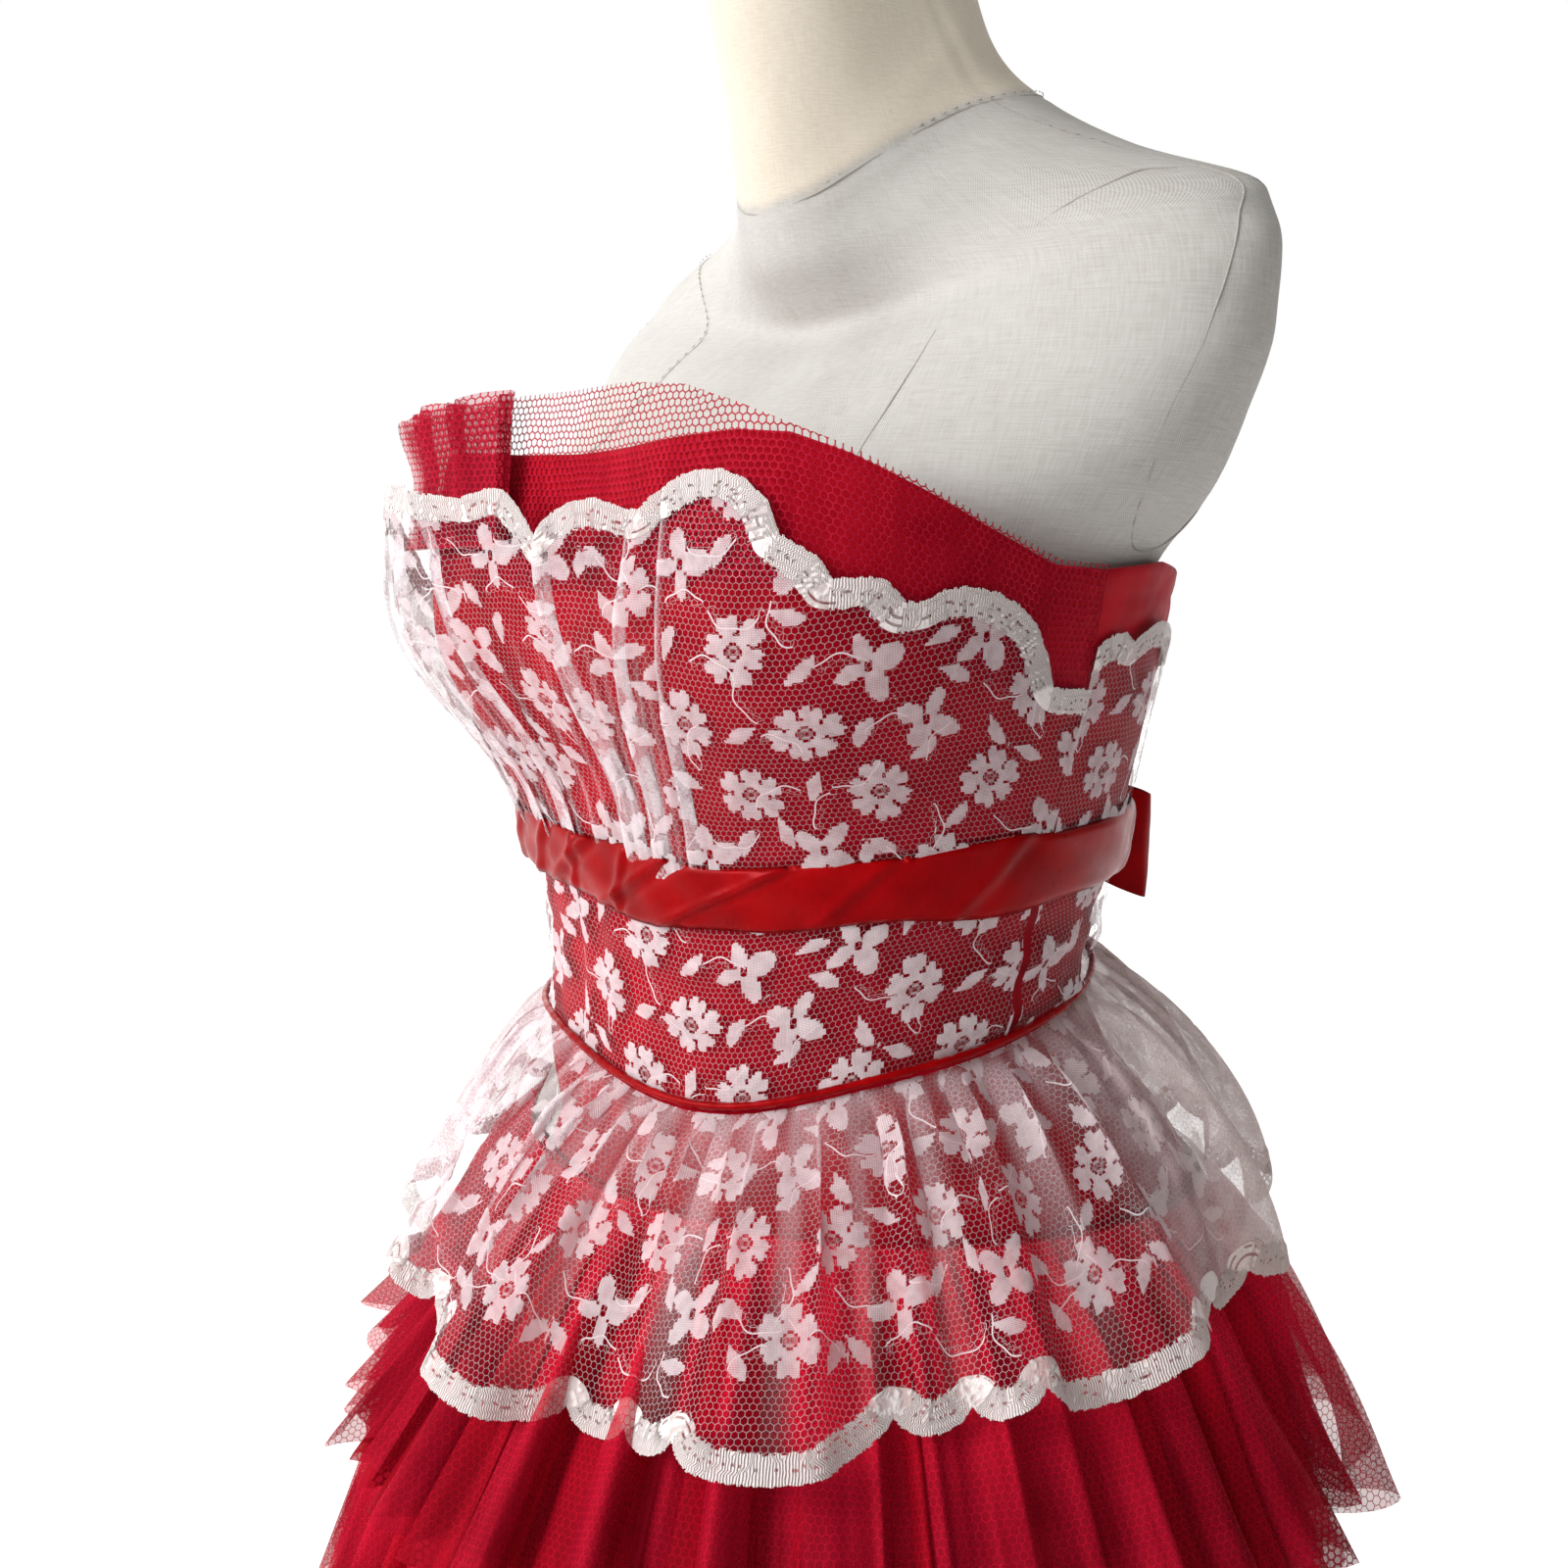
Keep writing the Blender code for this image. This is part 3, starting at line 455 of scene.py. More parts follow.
def lace_material(name, border=True, cell=2.3, thread=0.108, thread_alpha=0.36, work_alpha=(0.58, 0.74)):
    """White net with dense flower work and a corded cream edge. Fabric coordinates are in mm."""
    w = Net(name)
    p = w.attr("fab", vec=True)
    wob = w.vmath('SCALE', w.vmath('SUBTRACT', w.noise(p, 0.11, 2.0, color=True), (0.5, 0.5, 0.5)), scale=1.2)
    q = w.vmath('ADD', p, wob)
    e = w.hexnet(q, cell)
    thread_m = w.step(w.math('SUBTRACT', e, w.math('MULTIPLY', w.noise(p, 0.35, 1.0), 0.06)), thread - 0.10, thread + 0.02, 1.0, 0.0)

    def stitched(v, step):
        """The middle of the stitch that v falls in, with a little of v left."""
        mid = w.math('MULTIPLY', w.math('ADD', w.math('FLOOR', w.math('DIVIDE', v, step)), 0.5), step)
        return w.math('ADD', w.math('MULTIPLY', mid, 0.86), w.math('MULTIPLY', v, 0.14))

    # flowers: offset from the middle in mm, and a code that holds the turn and the kind
    fx, fy, code = w.xyz(w.attr("flower", vec=True))
    fx, fy = stitched(fx, 1.20), stitched(fy, 1.05)
    kind4 = w.math('GREATER_THAN', code, 5.0)
    turn = w.math('SUBTRACT', code, w.math('MULTIPLY', kind4, 10.0))
    r = w.math('DIVIDE', w.math('SQRT', w.math('ADD', w.math('MULTIPLY', fx, fx), w.math('MULTIPLY', fy, fy))), FLOWER_R)
    ang = w.math('SUBTRACT', w.math('ARCTAN2', fy, fx), turn)

    def petals(count):
        step = 2 * math.pi / count
        k = w.math('ROUND', w.math('DIVIDE', ang, step))
        b = w.math('SUBTRACT', ang, w.math('MULTIPLY', k, step))
        vary = w.math('ADD', 1.0, w.math('MULTIPLY', w.math('SINE', w.math('ADD', w.math('MULTIPLY', k, 2.1), w.math('MULTIPLY', turn, 9.0))), 0.10))
        rv = w.math('DIVIDE', r, vary)
        return w.math('MULTIPLY', rv, w.math('COSINE', b)), w.math('ABSOLUTE', w.math('MULTIPLY', rv, w.math('SINE', b))), k

    p6, q6, k6 = petals(6)
    hw6 = w.math('SUBTRACT', w.step(p6, 0.28, 0.66, 0.0, 0.335), w.step(p6, 0.84, 1.08, 0.0, 0.21))
    f6 = w.math('MULTIPLY', w.math('GREATER_THAN', w.math('SUBTRACT', hw6, q6), 0.0), w.math('LESS_THAN', w.math('SUBTRACT', p6, w.math('MULTIPLY', q6, 0.75)), 0.88))
    ring = w.math('LESS_THAN', r, 0.50)
    f6 = w.math('MULTIPLY', w.math('MAXIMUM', f6, ring), w.math('GREATER_THAN', r, 0.27))
    eye = w.step(w.math('ABSOLUTE', w.math('SUBTRACT', r, 0.12)), 0.02, 0.06, 0.75, 0.0)
    f6 = w.math('MAXIMUM', f6, eye)
    p4, q4, k4 = petals(4)
    odd = w.math('SINE', w.math('ADD', w.math('MULTIPLY', k4, 1.9), w.math('MULTIPLY', turn, 5.0)))
    u4 = w.math('DIVIDE', w.math('SUBTRACT', p4, 0.55), 0.50)
    hw4 = w.math('MULTIPLY', w.math('SQRT', w.math('MAXIMUM', w.math('SUBTRACT', 1.0, w.math('MULTIPLY', u4, u4)), 0.0)),
                 w.math('ADD', 0.30, w.math('MULTIPLY', odd, 0.07)))
    f4 = w.math('MULTIPLY', w.math('GREATER_THAN', w.math('SUBTRACT', hw4, q4), 0.0), w.math('GREATER_THAN', r, 0.15))
    flower = w.math('ADD', w.math('MULTIPLY', f6, w.math('SUBTRACT', 1.0, kind4)), w.math('MULTIPLY', f4, kind4))
    flower = w.math('MULTIPLY', flower, w.math('LESS_THAN', w.attr("freach"), 1.20))

    # leaves
    lx, ly, turn = w.xyz(w.attr("leaf", vec=True))
    lx, ly = stitched(lx, 1.20), stitched(ly, 1.05)
    c, sn = w.math('COSINE', turn), w.math('SINE', turn)
    lp = w.math('DIVIDE', w.math('ADD', w.math('MULTIPLY', lx, c), w.math('MULTIPLY', ly, sn)), LEAF_L)
    lq = w.math('SUBTRACT', w.math('MULTIPLY', ly, c), w.math('MULTIPLY', lx, sn))
    bend = w.math('MULTIPLY', w.math('SUBTRACT', w.math('MULTIPLY', lp, lp), 0.4), w.math('MULTIPLY', w.math('SINE', w.math('MULTIPLY', turn, 7.0)), 1.1))
    wide = w.math('MULTIPLY', w.math('SUBTRACT', 1.0, w.math('POWER', w.math('ABSOLUTE', lp), 1.7)),
                  w.math('MULTIPLY', LEAF_B, w.math('ADD', 1.0, w.math('MULTIPLY', lp, 0.28))))
    leaf = w.math('GREATER_THAN', w.math('SUBTRACT', wide, w.math('ABSOLUTE', w.math('ADD', lq, bend))), 0.0)
    leaf = w.math('MULTIPLY', leaf, w.math('LESS_THAN', w.attr("lreach"), 1.25))

    motif = w.math('MAXIMUM', flower, leaf)
    x, y, _ = w.xyz(q)
    work = w.math('MULTIPLY', w.math('SINE', w.math('MULTIPLY', x, 2 * math.pi / 1.0)), w.math('SINE', w.math('MULTIPLY', y, 2 * math.pi / 1.05)))
    hole = w.step(w.math('ABSOLUTE', work), 0.30, 0.85, 1.0, 0.42)
    solid_a = w.math('MULTIPLY', hole, w.step(w.noise(p, 0.22, 2.0), 0.3, 0.7, work_alpha[0], work_alpha[1]))
    ten = w.math('MULTIPLY', w.step(w.math('ABSOLUTE', w.attr("tend")), 0.16, 0.36, 1.0, 0.0), w.attr("tnear"))
    cover = w.math('MAXIMUM', w.math('MULTIPLY', thread_m, thread_alpha), w.math('MULTIPLY', motif, solid_a))
    cover = w.math('MAXIMUM', cover, w.math('MULTIPLY', ten, 0.75))
    # a second layer of net, seen through the first
    dense = w.attr("dense")
    x0, y0, _ = w.xyz(q)
    turned = w.vec(w.math('ADD', w.math('MULTIPLY', x0, 0.91), w.math('MULTIPLY', y0, 0.41)), w.math('SUBTRACT', w.math('MULTIPLY', y0, 0.91), w.math('MULTIPLY', x0, 0.41)))
    e2 = w.hexnet(turned, cell * 0.93)
    second = w.math('ADD', w.step(e2, 0.03, 0.20, 0.45, 0.0), 0.42)
    cover = w.math('ADD', cover, w.math('MULTIPLY', w.math('SUBTRACT', 1.0, cover), w.math('MULTIPLY', dense, second)))
    # extra cover where the lace lies in more layers; the same attribute also drives the painted shade below
    veil = w.math('MULTIPLY', w.attr("painted_shade_and_veil"), w.step(w.noise(p, 0.11, 3.0), 0.36, 0.62, 0.22, 0.56))
    cover = w.math('ADD', cover, w.math('MULTIPLY', w.math('SUBTRACT', 1.0, cover), veil))
    white = w.mix(w.noise(p, 0.05, 3.0), (0.93, 0.80, 0.84, 1), (1.0, 0.90, 0.93, 1))
    height = w.math('MAXIMUM', w.math('MULTIPLY', thread_m, 0.35), w.math('MULTIPLY', motif, w.math('ADD', 0.7, w.math('MULTIPLY', work, 0.25))))
    if border:
        d, s = w.attr("edge"), w.attr("along")

        def dice(v, step, seed):
            """A steady random number for each step of v."""
            node = w.n("ShaderNodeTexWhiteNoise", noise_dimensions='1D')
            w.put(node.inputs["W"], w.math('ADD', w.math('FLOOR', w.math('DIVIDE', v, step)), seed))
            return node.outputs["Value"]

        sn = w.math('ADD', s, w.math('MULTIPLY', w.noise(p, 0.3, 1.0), 1.0))
        rib = w.math('SINE', w.math('MULTIPLY', sn, 2 * math.pi / 0.95))
        inner = w.math('ADD', 8.4, w.math('ADD', w.math('MULTIPLY', dice(sn, 0.95, 3.0), 1.3), w.math('MULTIPLY', w.noise(p, 0.10, 1.0), 1.6)))
        band = w.step(w.math('SUBTRACT', inner, d), -0.10, 0.15)
        lane = w.math('ADD', 5.2, w.math('MULTIPLY', w.math('SUBTRACT', dice(sn, 1.5, 17.5), 0.5), 1.8))
        spot = w.math('MULTIPLY', w.step(w.math('ABSOLUTE', w.math('SUBTRACT', d, lane)), 0.20, 0.60, 1.0, 0.0), w.math('GREATER_THAN', dice(sn, 1.0, 40.5), 0.66))
        lane2 = w.math('MULTIPLY', w.step(w.math('ABSOLUTE', w.math('SUBTRACT', d, 7.9)), 0.15, 0.50, 1.0, 0.0), w.math('GREATER_THAN', dice(sn, 1.1, 71.5), 0.80))
        holes = w.math('MAXIMUM', spot, lane2)
        band_a = w.math('MULTIPLY', band, w.math('SUBTRACT', w.step(rib, -1.0, 0.0, 0.70, 0.97), w.math('MULTIPLY', holes, 0.62)))
        ragged = w.math('ADD', w.math('MULTIPLY', dice(sn, 0.95, 9.5), 0.75), w.math('MULTIPLY', w.noise(p, 0.22, 1.0), 0.5))
        cut = w.step(w.math('SUBTRACT', d, ragged), -0.08, 0.12)
        cover = w.math('MULTIPLY', w.math('MAXIMUM', w.math('MULTIPLY', cover, w.math('SUBTRACT', 1.0, band)), band_a), cut)
        cream = w.mix(w.math('ADD', w.math('MULTIPLY', w.noise(p, 0.9, 3.0), 0.5), w.math('MULTIPLY', w.math('ADD', rib, 1.0), 0.25)), (0.78, 0.69, 0.67, 1), (1.0, 0.93, 0.91, 1))
        white = w.mix(band, white, cream)
        bh = w.math('ADD', w.math('ADD', 1.2, w.math('MULTIPLY', w.noise(p, 1.1, 2.0), 0.9)), w.math('MULTIPLY', rib, 0.45))
        height = w.math('MAXIMUM', w.math('MULTIPLY', height, w.math('SUBTRACT', 1.0, band)), w.math('MULTIPLY', band_a, bh))
    # painted shade: the white is turned beige-grey where this attribute is set
    white = w.mix(w.math('MULTIPLY', w.attr("painted_shade_and_veil"), 0.70), white, (0.80, 0.66, 0.61, 1))
    w.set(Base_Color=white, Roughness=0.85, Alpha=cover)
    w.b.inputs["Specular IOR Level"].default_value = 0.02
    w.set(Normal=w.bump(height, 0.8, 0.0006))
    return w.m


def net_material(name, cell=3.4, thread=0.24, alpha=0.9, fill=0.0, dark=(0.30, 0.002, 0.010), light=(0.48, 0.010, 0.030)):
    w = Net(name)
    p = w.attr("fab", vec=True)
    wob = w.vmath('SCALE', w.vmath('SUBTRACT', w.noise(p, 0.06, 2.0, color=True), (0.5, 0.5, 0.5)), scale=3.0)
    e = w.hexnet(w.vmath('ADD', p, wob), cell)
    t = w.step(e, thread - 0.08, thread + 0.06, 1.0, 0.0)
    a = w.math('MAXIMUM', w.math('MULTIPLY', t, alpha), fill)
    x, y, _ = w.xyz(p)
    streak = w.noise(w.vec(w.math('MULTIPLY', x, 0.22), w.math('MULTIPLY', y, 0.012)), 1.0, 3.0)
    col = w.mix(w.step(w.math('ADD', w.math('MULTIPLY', w.noise(p, 0.04, 3.0), 0.4), w.math('MULTIPLY', streak, 0.6)), 0.30, 0.70), (*dark, 1), (*light, 1))
    # painted light: the top of a tier is given a brighter, fuller red
    col = w.mix(w.math('MULTIPLY', w.attr("tier_top_painted_light"), 0.8), col, (min(1.0, light[0] * 1.35), light[1] * 1.2, light[2] * 1.2, 1))
    w.set(Base_Color=col, Roughness=0.62, Alpha=a)
    w.b.inputs["Specular IOR Level"].default_value = 0.02
    w.set(Normal=w.bump(t, 0.5, 0.0003))
    return w.m


def satin_material(name, dark, light, rough=0.34, rib=0.45, bump=0.25, spec=0.4):
    w = Net(name)
    p = w.attr("fab", vec=True)
    x, y, _ = w.xyz(p)
    weft = w.math('SINE', w.math('MULTIPLY', y, 2 * math.pi / rib))
    warp = w.noise(w.vec(w.math('MULTIPLY', x, 3.0), w.math('MULTIPLY', y, 0.22)), 1.0, 2.0)
    soft = w.noise(w.vec(w.math('MULTIPLY', x, 0.05), w.math('MULTIPLY', y, 0.05)), 1.0, 3.0)
    col = w.mix(w.step(w.math('ADD', w.math('MULTIPLY', soft, 0.7), w.math('MULTIPLY', warp, 0.3)), 0.25, 0.75), (*dark, 1), (*light, 1))
    # painted shade: where the under attribute is set, the satin is darkened toward a quarter of its dark colour beneath
    # the lace
    col = w.mix(w.math('MULTIPLY', w.attr("under"), 0.42), col, (dark[0] * 0.25, dark[1] * 0.3, dark[2] * 0.3, 1))
    w.set(Base_Color=col)
    w.set(Roughness=w.step(w.noise(p, 0.12, 2.0), 0.3, 0.7, rough - 0.05, rough + 0.07))
    w.b.inputs["Specular IOR Level"].default_value = spec
    w.b.inputs["Specular Tint"].default_value = (1.0, 0.10, 0.12, 1)
    h = w.math('ADD', w.math('MULTIPLY', weft, 0.03), w.math('MULTIPLY', warp, 0.5))
    w.set(Normal=w.bump(h, bump, 0.0004))
    return w.m


def linen_material(name, dark=(0.36, 0.335, 0.30), light=(0.665, 0.655, 0.625), scale=1.0):
    """Plain-woven linen with slubs; fabric coordinates in mm."""
    w = Net(name)
    p = w.attr("fab", vec=True)
    x, y, _ = w.xyz(p)
    wx = w.math('ADD', x, w.math('MULTIPLY', w.noise(p, 0.03, 2.0), 3.0))
    wy = w.math('ADD', y, w.math('MULTIPLY', w.noise(w.vmath('ADD', p, (40, 9, 0)), 0.03, 2.0), 3.0))
    warp = w.math('SINE', w.math('MULTIPLY', wx, 2 * math.pi / 0.75))
    weft = w.math('SINE', w.math('MULTIPLY', wy, 2 * math.pi / 0.80))
    weave = w.math('MULTIPLY', warp, weft)
    slub_h = w.noise(w.vec(w.math('MULTIPLY', x, 0.09), w.math('MULTIPLY', y, 1.7)), 1.0, 3.0, 0.6)
    slub_v = w.noise(w.vec(w.math('MULTIPLY', x, 1.7), w.math('MULTIPLY', y, 0.09), 7.0), 1.0, 3.0, 0.6)
    cloud = w.noise(p, 0.012, 4.0)
    f = w.math('ADD', w.math('MULTIPLY', slub_h, 0.30), w.math('MULTIPLY', slub_v, 0.26))
    f = w.math('ADD', f, w.math('MULTIPLY', cloud, 0.20))
    f = w.math('ADD', f, w.math('MULTIPLY', w.math('ADD', weave, 1.0), 0.12))
    col = w.mix(w.step(f, 0.20, 0.66), (*dark, 1), (*light, 1))
    fleck = w.step(w.noise(w.vec(w.math('MULTIPLY', x, 0.35), w.math('MULTIPLY', y, 1.6), 3.0), 1.0, 1.0), 0.72, 0.80)
    col = w.mix(w.math('MULTIPLY', fleck, 0.45), col, (0.34, 0.30, 0.25, 1))
    cream = w.attr("cream")
    col = w.mix(w.math('MULTIPLY', cream, 0.80), col, w.mix(w.step(f, 0.28, 0.72), (0.70, 0.61, 0.48, 1), (0.97, 0.88, 0.73, 1)))
    w.set(Base_Color=col, Roughness=0.88)
    w.b.inputs["Specular IOR Level"].default_value = 0.08
    h = w.math('ADD', w.math('MULTIPLY', weave, 0.5), w.math('ADD', slub_h, slub_v))
    w.set(Normal=w.bump(h, 0.30, 0.0004))
    return w.m


def metal_material(name, dark, light, rough, metal):
    w = Net(name)
    tc = w.n("ShaderNodeTexCoord").outputs["Object"]
    x, y, z = w.xyz(tc)
    brush = w.noise(w.vec(w.math('MULTIPLY', x, 900.0), w.math('MULTIPLY', y, 900.0), w.math('MULTIPLY', z, 25.0)), 1.0, 2.0)
    col = w.mix(w.step(w.math('ADD', w.math('MULTIPLY', brush, 0.6), w.math('MULTIPLY', w.noise(tc, 6.0, 4.0), 0.4)), 0.3, 0.7), (*dark, 1), (*light, 1))
    w.set(Base_Color=col, Roughness=w.step(brush, 0.2, 0.8, rough - 0.05, rough + 0.08))
    w.b.inputs["Metallic"].default_value = metal
    w.set(Normal=w.bump(w.math('ADD', brush, w.noise(tc, 220.0, 2.0)), 0.15, 0.0003))
    return w.m


# =====================================================================  the lace's own repeat, in mm
REPEAT = (125.0, 104.0)
# x, y, turn_deg, kind
FLOWERS = [
    (0, 34, 30, 6), (41, 43, 10, 4), (84, 44, 50, 4), (20, 65, 5, 6), (62, 68, 22, 6), (105, 66, 40, 6),
    (-2, 91, 60, 4), (41, 94, 35, 6), (84, 92, 12, 6), (20, 11, 28, 4), (63, 17, 45, 6), (105, 9, 20, 4),
]
# x, y, turn_deg
LEAVES = [
    (-17, 27, -58), (18, 28, 58), (-26, 42, 62), (27, 30, -50), (57, 48, 62), (72, 52, -72), (103, 44, -30), (5, 52, 42),
    (37, 72, -28), (84, 70, 75), (121, 80, 35), (9, 105, -30), (24, 82, -66), (62, 92, 28),
    (102, 90, 60), (37, 18, 70), (84, 10, 42), (4, 14, 15), (80, 28, -18),
]
# centre_x, centre_y, radius, from_deg, to_deg
TENDRILS = [
    (10, 47, 13, 150, 235), (-12, 50, 12, 300, 400), (30, 54, 11, 200, 300), (52, 59, 13, 230, 330), (74, 59, 12, 60, 160), (94, 57, 12, 110, 200),
    (8, 77, 11, 90, 190), (34, 81, 10, 330, 430), (52, 84, 12, 120, 220), (72, 81, 11, 20, 110), (94, 81, 12, 250, 350), (112, 84, 11, 60, 150),
    (30, 104, 11, 200, 300), (52, 107, 12, 20, 120), (74, 108, 12, 160, 250), (96, 106, 12, 40, 130), (10, 23, 12, 30, 110), (-9, 20, 12, 80, 160),
    (116, 48, 12, 200, 300), (63, 36, 12, 210, 330), (44, 25, 10, 40, 150), (84, 28, 10, 150, 260),
]


def motif_fields(x, y, lowest=None):
    """Where each fabric point (mm) lies against its nearest flower, leaf and tendril."""
    W, H = REPEAT
    best = np.full(x.shape, 9.0)
    flower = np.zeros(x.shape + (3,))
    lbest = np.full(x.shape, 9.0)
    leaf = np.zeros(x.shape + (3,))
    tend = np.full(x.shape, 3.0)
    near = np.zeros(x.shape)

    def rel(cx, cy):
        dx = (x - cx + W / 2) % W - W / 2
        k = np.floor((y - cy + H / 2) / H)
        dy = y - cy - k * H
        ok = np.ones(x.shape, bool) if lowest is None else (cy + k * H) > lowest
        return dx, dy, ok

    for cx, cy, turn, kind in FLOWERS:
        dx, dy, ok = rel(cx, cy)
        r = np.where(ok, np.hypot(dx, dy) / FLOWER_R, 9.0)
        m = r < best
        best[m] = r[m]
        flower[m] = np.stack([dx[m], dy[m], np.full(m.sum(), math.radians(turn) + (10.0 if kind == 4 else 0.0))], -1)
    for cx, cy, turn in LEAVES:
        dx, dy, ok = rel(cx, cy)
        t = math.radians(turn)
        p, q = dx * math.cos(t) + dy * math.sin(t), -dx * math.sin(t) + dy * math.cos(t)
        r = np.where(ok, np.hypot(p / LEAF_L, q / (LEAF_B * 1.6)), 9.0)
        m = r < lbest
        lbest[m] = r[m]
        leaf[m] = np.stack([dx[m], dy[m], np.full(m.sum(), t)], -1)
    for cx, cy, R, a0, a1 in TENDRILS:
        dx, dy, ok = rel(cx, cy)
        r = np.hypot(dx, dy)
        a = np.degrees(np.arctan2(dy, dx)) % 360
        mid, half = (a0 + a1) / 2 % 360, (a1 - a0) / 2
        da = np.abs((a - mid + 180) % 360 - 180)
        d = r - R + 0.5 * np.sin(np.radians(a * 7))
        m = (np.abs(d) < 2.4) & (da < half) & ok
        tend[m] = d[m]
        near[m] = 1.0
    raised = np.maximum(smooth01((1.0 - best) / 0.15) * smooth01((best - 0.2) / 0.1), smooth01((1.0 - lbest) / 0.3))
    return {"flower": flower, "freach": best, "leaf": leaf, "lreach": lbest, "tend": tend, "tnear": near}, raised


def edge_fields(fab, edge_line, reach=16.0):
    """Distance to the cut edge and the length along it, for fabric points [n, 2] in mm."""
    kd = KDTree(len(edge_line))
    for i, q in enumerate(edge_line):
        kd.insert((float(q[0]), float(q[1]), 0.0), i)
    kd.balance()
    s = arc_path(edge_line)
    d = np.full(len(fab), reach)
    al = np.zeros(len(fab))
    top = edge_line[:, 1].max() + 1
    low = edge_line[:, 1].min() - reach
    for i in np.nonzero((fab[:, 1] > low) & (fab[:, 1] < top + reach))[0]:
        _, k, dist = kd.find((float(fab[i, 0]), float(fab[i, 1]), 0.0))
        d[i] = min(dist, reach)
        al[i] = s[k]
    return d, al


def normals_of(P, closed=False):
    du = np.gradient(P, axis=0) if not closed else (np.roll(P, -1, 0) - np.roll(P, 1, 0)) / 2
    dv = np.gradient(P, axis=1)
    n = np.cross(du, dv)
    return n / (np.linalg.norm(n, axis=-1)[..., None] + 1e-12)


SLOT = {"lace": "lace", "satin": "satin", "ribbon": "ribbon", "net": "net", "lining": "lining", "linen": "linen"}


def dress_piece(ob, nodes=()):
    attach(ob, "root")
    if nodes:
        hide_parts(*nodes)
    return ob


# =====================================================================  camera and light
CAM = dict(azimuth=45.0, distance=0.66, height=0.143, focal_px=1669.0, pitch=5.9, yaw=1.3, roll=2.0)


def add_camera():
    az, pitch, roll = (math.radians(CAM[k]) for k in ("azimuth", "pitch", "roll"))
    a = az + math.radians(CAM["yaw"])
    C = Vector((AX + CAM["distance"] * math.sin(az), AY - CAM["distance"] * math.cos(az), WAIST_Z + CAM["height"]))
    F = Vector((-math.sin(a) * math.cos(pitch), math.cos(a) * math.cos(pitch), -math.sin(pitch)))
    R = Vector((math.cos(a), math.sin(a), 0.0))
    U = R.cross(F)
    R2 = R * math.cos(roll) + U * math.sin(roll)
    U2 = U * math.cos(roll) - R * math.sin(roll)
    cam = bpy.data.cameras.new("camera")
    cam.sensor_fit = 'HORIZONTAL'
    cam.sensor_width = 36.0
    cam.lens = 36.0 * CAM["focal_px"] / 1600.0
    cam.clip_start = 0.02
    ob = bpy.data.objects.new("camera", cam)
    scene.collection.objects.link(ob)
    ob.matrix_world = Matrix(((R2[0], U2[0], -F[0], C[0]), (R2[1], U2[1], -F[1], C[1]), (R2[2], U2[2], -F[2], C[2]), (0, 0, 0, 1)))
    scene.camera = ob
    return C, F


CAM_AT, CAM_DIR = add_camera()


def area_light(name, at, target, size, power, color=(1, 1, 1)):
    li = bpy.data.lights.new(name, 'AREA')
    li.shape = 'RECTANGLE'
    li.size, li.size_y = size
    li.energy = power
    li.color = color
    ob = bpy.data.objects.new(name, li)
    scene.collection.objects.link(ob)
    ob.location = at
    d = Vector(target) - Vector(at)
    ob.rotation_euler = d.to_track_quat('-Z', 'Y').to_euler()
    return ob


# A white studio that is dim on one side, like a room with its window on the other
world = bpy.data.worlds.new("studio")
world.use_nodes = True
wt = world.node_tree
w_co = wt.nodes.new("ShaderNodeTexCoord")
w_dot = wt.nodes.new("ShaderNodeVectorMath")
w_dot.operation = 'DOT_PRODUCT'
w_dot.inputs[1].default_value = Vector((0.93, 0.16, 0.26)).normalized()
w_map = wt.nodes.new("ShaderNodeMapRange")
w_map.interpolation_type = 'SMOOTHSTEP'
for key, val in (("From Min", 0.08), ("From Max", 0.64), ("To Min", 0.0), ("To Max", 1.0)):
    w_map.inputs[key].default_value = val
w_mix = wt.nodes.new("ShaderNodeMix")
w_mix.data_type = 'RGBA'
w_mix.inputs[6].default_value = (1.0, 1.0, 1.0, 1)
w_mix.inputs[7].default_value = (0.150, 0.145, 0.140, 1)
wt.links.new(w_co.outputs["Generated"], w_dot.inputs[0])
wt.links.new(w_dot.outputs["Value"], w_map.inputs["Value"])
wt.links.new(w_map.outputs[0], w_mix.inputs[0])
wt.links.new(w_mix.outputs[2], wt.nodes["Background"].inputs[0])
wt.nodes["Background"].inputs[1].default_value = 1.0
scene.world = world
area_light("key", (-0.72, -2.40, 2.05), (0, 0, 1.12), (1.2, 1.2), 56, (1.0, 0.99, 0.985))
area_light("fill", (-2.2, 0.6, 1.9), (0, 0, 1.1), (1.6, 1.6), 10)
scene.view_settings.view_transform = 'Standard'
scene.view_settings.look = 'None'
scene.view_settings.exposure = 0.0
scene.cycles.transparent_max_bounces = 12
scene.cycles.max_bounces = 4
scene.cycles.diffuse_bounces = 2
scene.cycles.glossy_bounces = 2

floor_mat = Net("floor_paint_and_glow")
tc = floor_mat.n("ShaderNodeTexCoord").outputs["Object"]
floor_mat.set(Base_Color=floor_mat.mix(floor_mat.noise(tc, 3.0, 3.0), (0.78, 0.77, 0.76, 1), (0.82, 0.81, 0.80, 1)), Roughness=0.95)
floor_mat.b.inputs["Specular IOR Level"].default_value = 0.0
